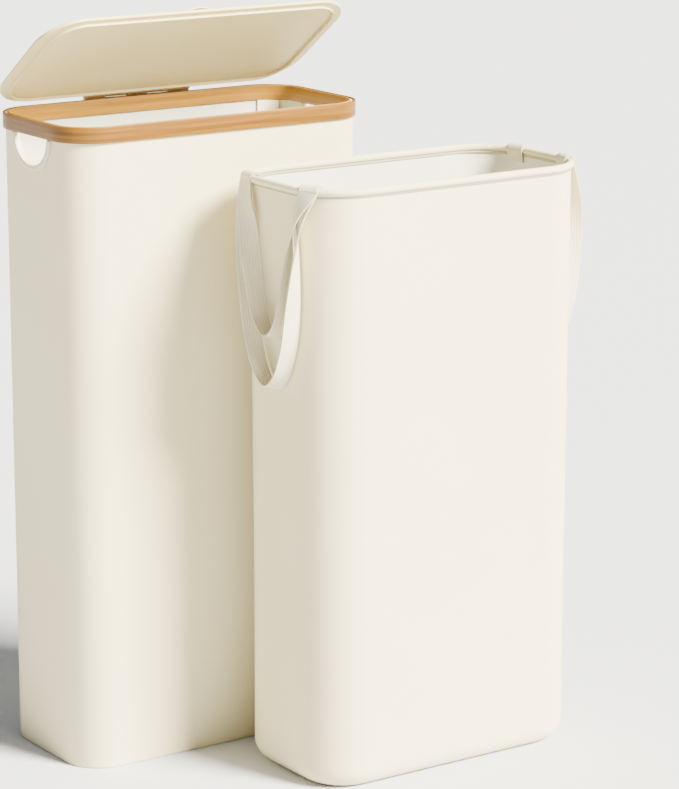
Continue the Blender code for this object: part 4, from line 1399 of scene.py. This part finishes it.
@dataclass
class Loops:
    """The webbing loops of one short side, each sewn inside the bag and turned over its rim."""

    palette: Palette
    liner: Liner
    side: str
    middle: float
    spread: float
    flare: float
    width: float = 0.020
    thickness: float = 0.0012
    sewn_rows: tuple[float, ...] = (0.012, 0.0085)
    sewn_gap: float = 0.0006
    over_gap: float = 0.0003
    layer_gap: float = 0.0002
    tuck: float = 0.0125
    tuck_step: float = 0.001
    front_reach: float = 0.0010
    back_reach: float = 0.0080
    reach_fades: float = 0.11
    bend_start: float = 0.0015
    bend_end: float = 0.0110
    bend_slope: float = 0.3
    back_skew: float = 18.0
    flare_drop: float = 0.19

    def build(self) -> None:
        """Make the long and the short loop."""
        for strand in (LONG_STRAND, SHORT_STRAND):
            self.make_loop(strand)

    @property
    def sign(self) -> int:
        """The side's direction along X."""
        return SIGNS[self.side]

    def world(self, out: float, across: float, height: float) -> Vector:
        """Turn a place given outwards and across the bag's side into a world place."""
        return Vector((self.liner.centre[0] + self.sign * out, self.liner.centre[1] + across,
                       height))

    def wrap(self, front: int, layer: int) -> list[Station]:
        """Stations of a strap from its sewn end inside the bag, over the rim, to outside.

        Args:
            front: -1 for the front anchor and 1 for the back one.
            layer: 0 for the strap that lies on the rim, 1 for the one on top of it.

        Returns:
            Places and outer-edge directions, from the sewn end.
        """
        along = abs(self.middle + front * self.spread)
        skew = 0.0
        if self.side == "left":
            along += self.back_reach if front > 0 else self.front_reach
            skew = math.radians(self.back_skew if front > 0 else 0.0)
        rim = self.liner.rim
        straight = rim.depth / 2 - rim.radius
        walked = straight + rim.radius * math.asin(max(along - straight, 0.0) / rim.radius)
        place, turn = rim.rim_point(walked)
        outwards = Vector((math.cos(turn), math.sin(turn)))
        tangent = Vector((-math.sin(turn), math.cos(turn)))
        edge = Vector((self.sign * tangent.x, front * tangent.y, 0.0))
        edge.rotate(Matrix.Rotation(skew, 3, "Z"))
        height = self.liner.rim_height
        lift = self.thickness * (layer + 0.5)
        stack = self.liner.piping + self.over_gap + lift + self.layer_gap * layer
        inside = -self.liner.wall - self.sewn_gap - lift
        spots = [(inside, self.tuck_step * layer - self.tuck)]
        spots += [(inside, -row) for row in self.sewn_rows]
        for degrees in WRAP_ANGLES:
            angle = math.radians(degrees)
            spots.append((stack * math.cos(angle), stack * math.sin(angle)))
        made = []
        for out, up in spots:
            spot = place + outwards * out
            made.append((self.world(spot.x, front * spot.y, height + up), edge))
        return made

    def hang(self, strand: Strand, front: int) -> list[Station]:
        """Stations of a strand from just below the rim to the bottom of the U."""
        made = []
        reach = self.back_reach if self.side == "left" and front > 0 else 0.0
        for out, share, drop, twist, rise in strand.rows:
            shift = reach * max(1.0 - drop / self.reach_fades, 0.0)
            fallen = min(drop / self.flare_drop, 1.0)
            flare = self.flare * math.sin(0.75 * math.pi * fallen)
            turn = math.radians(twist)
            place = self.world(self.liner.rim.length / 2 + out + flare,
                               self.middle + front * (share * self.spread + shift),
                               self.liner.rim_height - drop)
            edge = Vector((self.sign * math.sin(turn), front * math.cos(turn), rise))
            made.append((place, edge.normalized()))
        return made

    def stations(self, strand: Strand) -> list[Station]:
        """Stations of a whole loop, from its front sewn end to its back one."""
        front = self.wrap(-1, strand.layer) + self.hang(strand, -1)
        back = self.wrap(1, strand.layer) + self.hang(strand, 1)
        return front + back[::-1][1:]

    def make_loop(self, strand: Strand) -> None:
        """Lay a strip of webbing along the stations and give it its thickness."""
        line = smooth_stations(self.stations(strand))
        lengths = [0.0]
        for (first, _), (second, _) in zip(line, line[1:]):
            lengths.append(lengths[-1] + (second - first).length)
        deselect_all()
        bpy.ops.mesh.primitive_grid_add(x_subdivisions=8, y_subdivisions=len(line) - 1, size=1.0)
        strap = bpy.context.active_object
        strap.name = f"{strand.name}_strap_{self.side}"
        layer = strap.data.uv_layers.active
        rows = [round((vertex.co.y + 0.5) * (len(line) - 1)) for vertex in strap.data.vertices]
        for loop in strap.data.loops:
            across = strap.data.vertices[loop.vertex_index].co.x + 0.5
            layer.data[loop.index].uv = (across, lengths[rows[loop.vertex_index]])
        for vertex, row in zip(strap.data.vertices, rows):
            place, edge = line[row]
            vertex.co = place + edge * (vertex.co.x * self.width)
        thicken(strap, self.thickness, 0.0, False)
        LOG.info("%s is %.0f mm of webbing", strap.name, lengths[-1] / MM)
        smooth(strap, 50.0)
        dress(strap, self.palette.webbing)
        self.hang_on_joint(strap, strand)

    def hang_on_joint(self, strap: bpy.types.Object, strand: Strand) -> None:
        """Move the strap's place into its mesh, and hide the nodes that it stands for."""
        side = self.liner.rim.length / 2
        start = self.world(side + self.bend_start, self.middle, self.liner.rim_height)
        drop = self.bend_slope * (self.bend_end - self.bend_start)
        end = self.world(side + self.bend_end, self.middle, self.liner.rim_height - drop)
        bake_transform(strap)
        nodes = [f"{strand.name}_loop_{self.side}"]
        if strand is LONG_STRAND:
            nodes += [f"loop_tab_{self.side}_{place}" for place in ("front", "back")]
        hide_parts(*nodes)


def smooth_stations(stations: Sequence[Station], pieces: int = 10) -> list[Station]:
    """Run a smooth line through stations by Catmull-Rom steps.

    Args:
        stations: Places and edge directions.
        pieces: Steps between two stations.

    Returns:
        The finer stations, with unit directions that follow each other without a flip.
    """
    turned = [stations[0]]
    for place, edge in stations[1:]:
        turned.append((place, edge if edge.dot(turned[-1][1]) >= 0 else -edge))
    values = [(*place, *edge) for place, edge in turned]
    first = tuple(2 * a - b for a, b in zip(values[0], values[1]))
    last = tuple(2 * a - b for a, b in zip(values[-1], values[-2]))
    padded = [first, *values, last]
    line = []
    for a, b, c, d in zip(padded, padded[1:], padded[2:], padded[3:]):
        for piece in range(pieces):
            t = piece / pieces
            point = [0.5 * (2 * q + (r - p) * t + (2 * p - 5 * q + 4 * r - s) * t * t
                            + (3 * q - p - 3 * r + s) * t ** 3) for p, q, r, s in zip(a, b, c, d)]
            line.append((Vector(point[:3]), Vector(point[3:]).normalized()))
    line.append((Vector(values[-1][:3]), Vector(values[-1][3:]).normalized()))
    return line


# ------------------------------------------------------------------------------ the studio
@dataclass(frozen=True)
class Studio:
    """Floor, soft light and camera."""

    eye: tuple[float, float, float] = (-1.68321, -2.75328, 1.13342)
    yaw: float = -34.302
    pitch: float = -13.551
    lens: float = 145.39
    key: float = 31.0
    key_softness: float = 22.0
    key_height: float = 38.0
    key_side: float = 27.0
    key_colour: Colour = (1.0, 0.94, 0.76)
    fill: float = 0.35
    floor_size: float = 240.0
    floor_tone: Colour = (0.60, 0.63, 0.71)
    floor_roughness: float = 0.9
    sensor: float = 36.0
    nearest: float = 0.05
    furthest: float = 400.0

    def build(self) -> None:
        """Set up the whole studio."""
        self.make_floor()
        self.make_lights()
        self.make_camera()

    def make_floor(self) -> None:
        """Lay a wide pale floor."""
        deselect_all()
        bpy.ops.mesh.primitive_plane_add(size=self.floor_size)
        floor = bpy.context.active_object
        floor.name = "studio_floor"
        material, _, shader = start_material("Pale floor")
        shader.inputs["Base Color"].default_value = (*self.floor_tone, 1.0)
        shader.inputs["Roughness"].default_value = self.floor_roughness
        floor.data.materials.append(material)

    def make_lights(self) -> None:
        """Give a soft warm key from the front right, and fill from a pale surround."""
        world = bpy.data.worlds.new("Pale surround")
        world.use_nodes = True
        shade = world.node_tree.nodes["Background"]
        shade.inputs["Color"].default_value = (1.0, 1.0, 1.0, 1.0)
        shade.inputs["Strength"].default_value = self.fill
        bpy.context.scene.world = world
        light = bpy.data.lights.new("key", "SUN")
        light.energy = self.key
        light.angle = math.radians(self.key_softness)
        light.color = self.key_colour
        lamp = bpy.data.objects.new("key", light)
        bpy.context.collection.objects.link(lamp)
        lamp.rotation_euler = (math.radians(90.0 - self.key_height), 0.0,
                               math.radians(self.key_side))

    def make_camera(self) -> None:
        """Stand the camera at the front left, a little above the rim."""
        camera = bpy.data.cameras.new("camera")
        camera.lens = self.lens
        camera.sensor_width = self.sensor
        camera.sensor_fit = "AUTO"
        camera.clip_start = self.nearest
        camera.clip_end = self.furthest
        eye = bpy.data.objects.new("camera", camera)
        bpy.context.collection.objects.link(eye)
        eye.location = self.eye
        eye.rotation_euler = (math.radians(90.0 + self.pitch), 0.0, math.radians(self.yaw))
        bpy.context.scene.camera = eye


def main() -> None:
    """Load the frame and build every sub-assembly round it."""
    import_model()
    palette = Palette()
    axis = Vector(HINGE_AXIS)
    opened = (Matrix.Translation(axis) @ Matrix.Rotation(math.radians(-LID_OPEN_BY), 4, "X")
              @ Matrix.Translation(-axis))
    Studio().build()
    Hamper(palette).build()
    Hinge(palette, opened, axis).build()
    Lid(palette, opened, back=axis.y - LID_BEFORE_HINGE).build()
    liner = Liner(palette)
    liner.build()
    Loops(palette, liner, "left", middle=-0.0055, spread=0.0465, flare=0.0).build()
    Loops(palette, liner, "right", middle=-0.0010, spread=0.0395, flare=0.003).build()


if __name__ == "__main__":
    main()
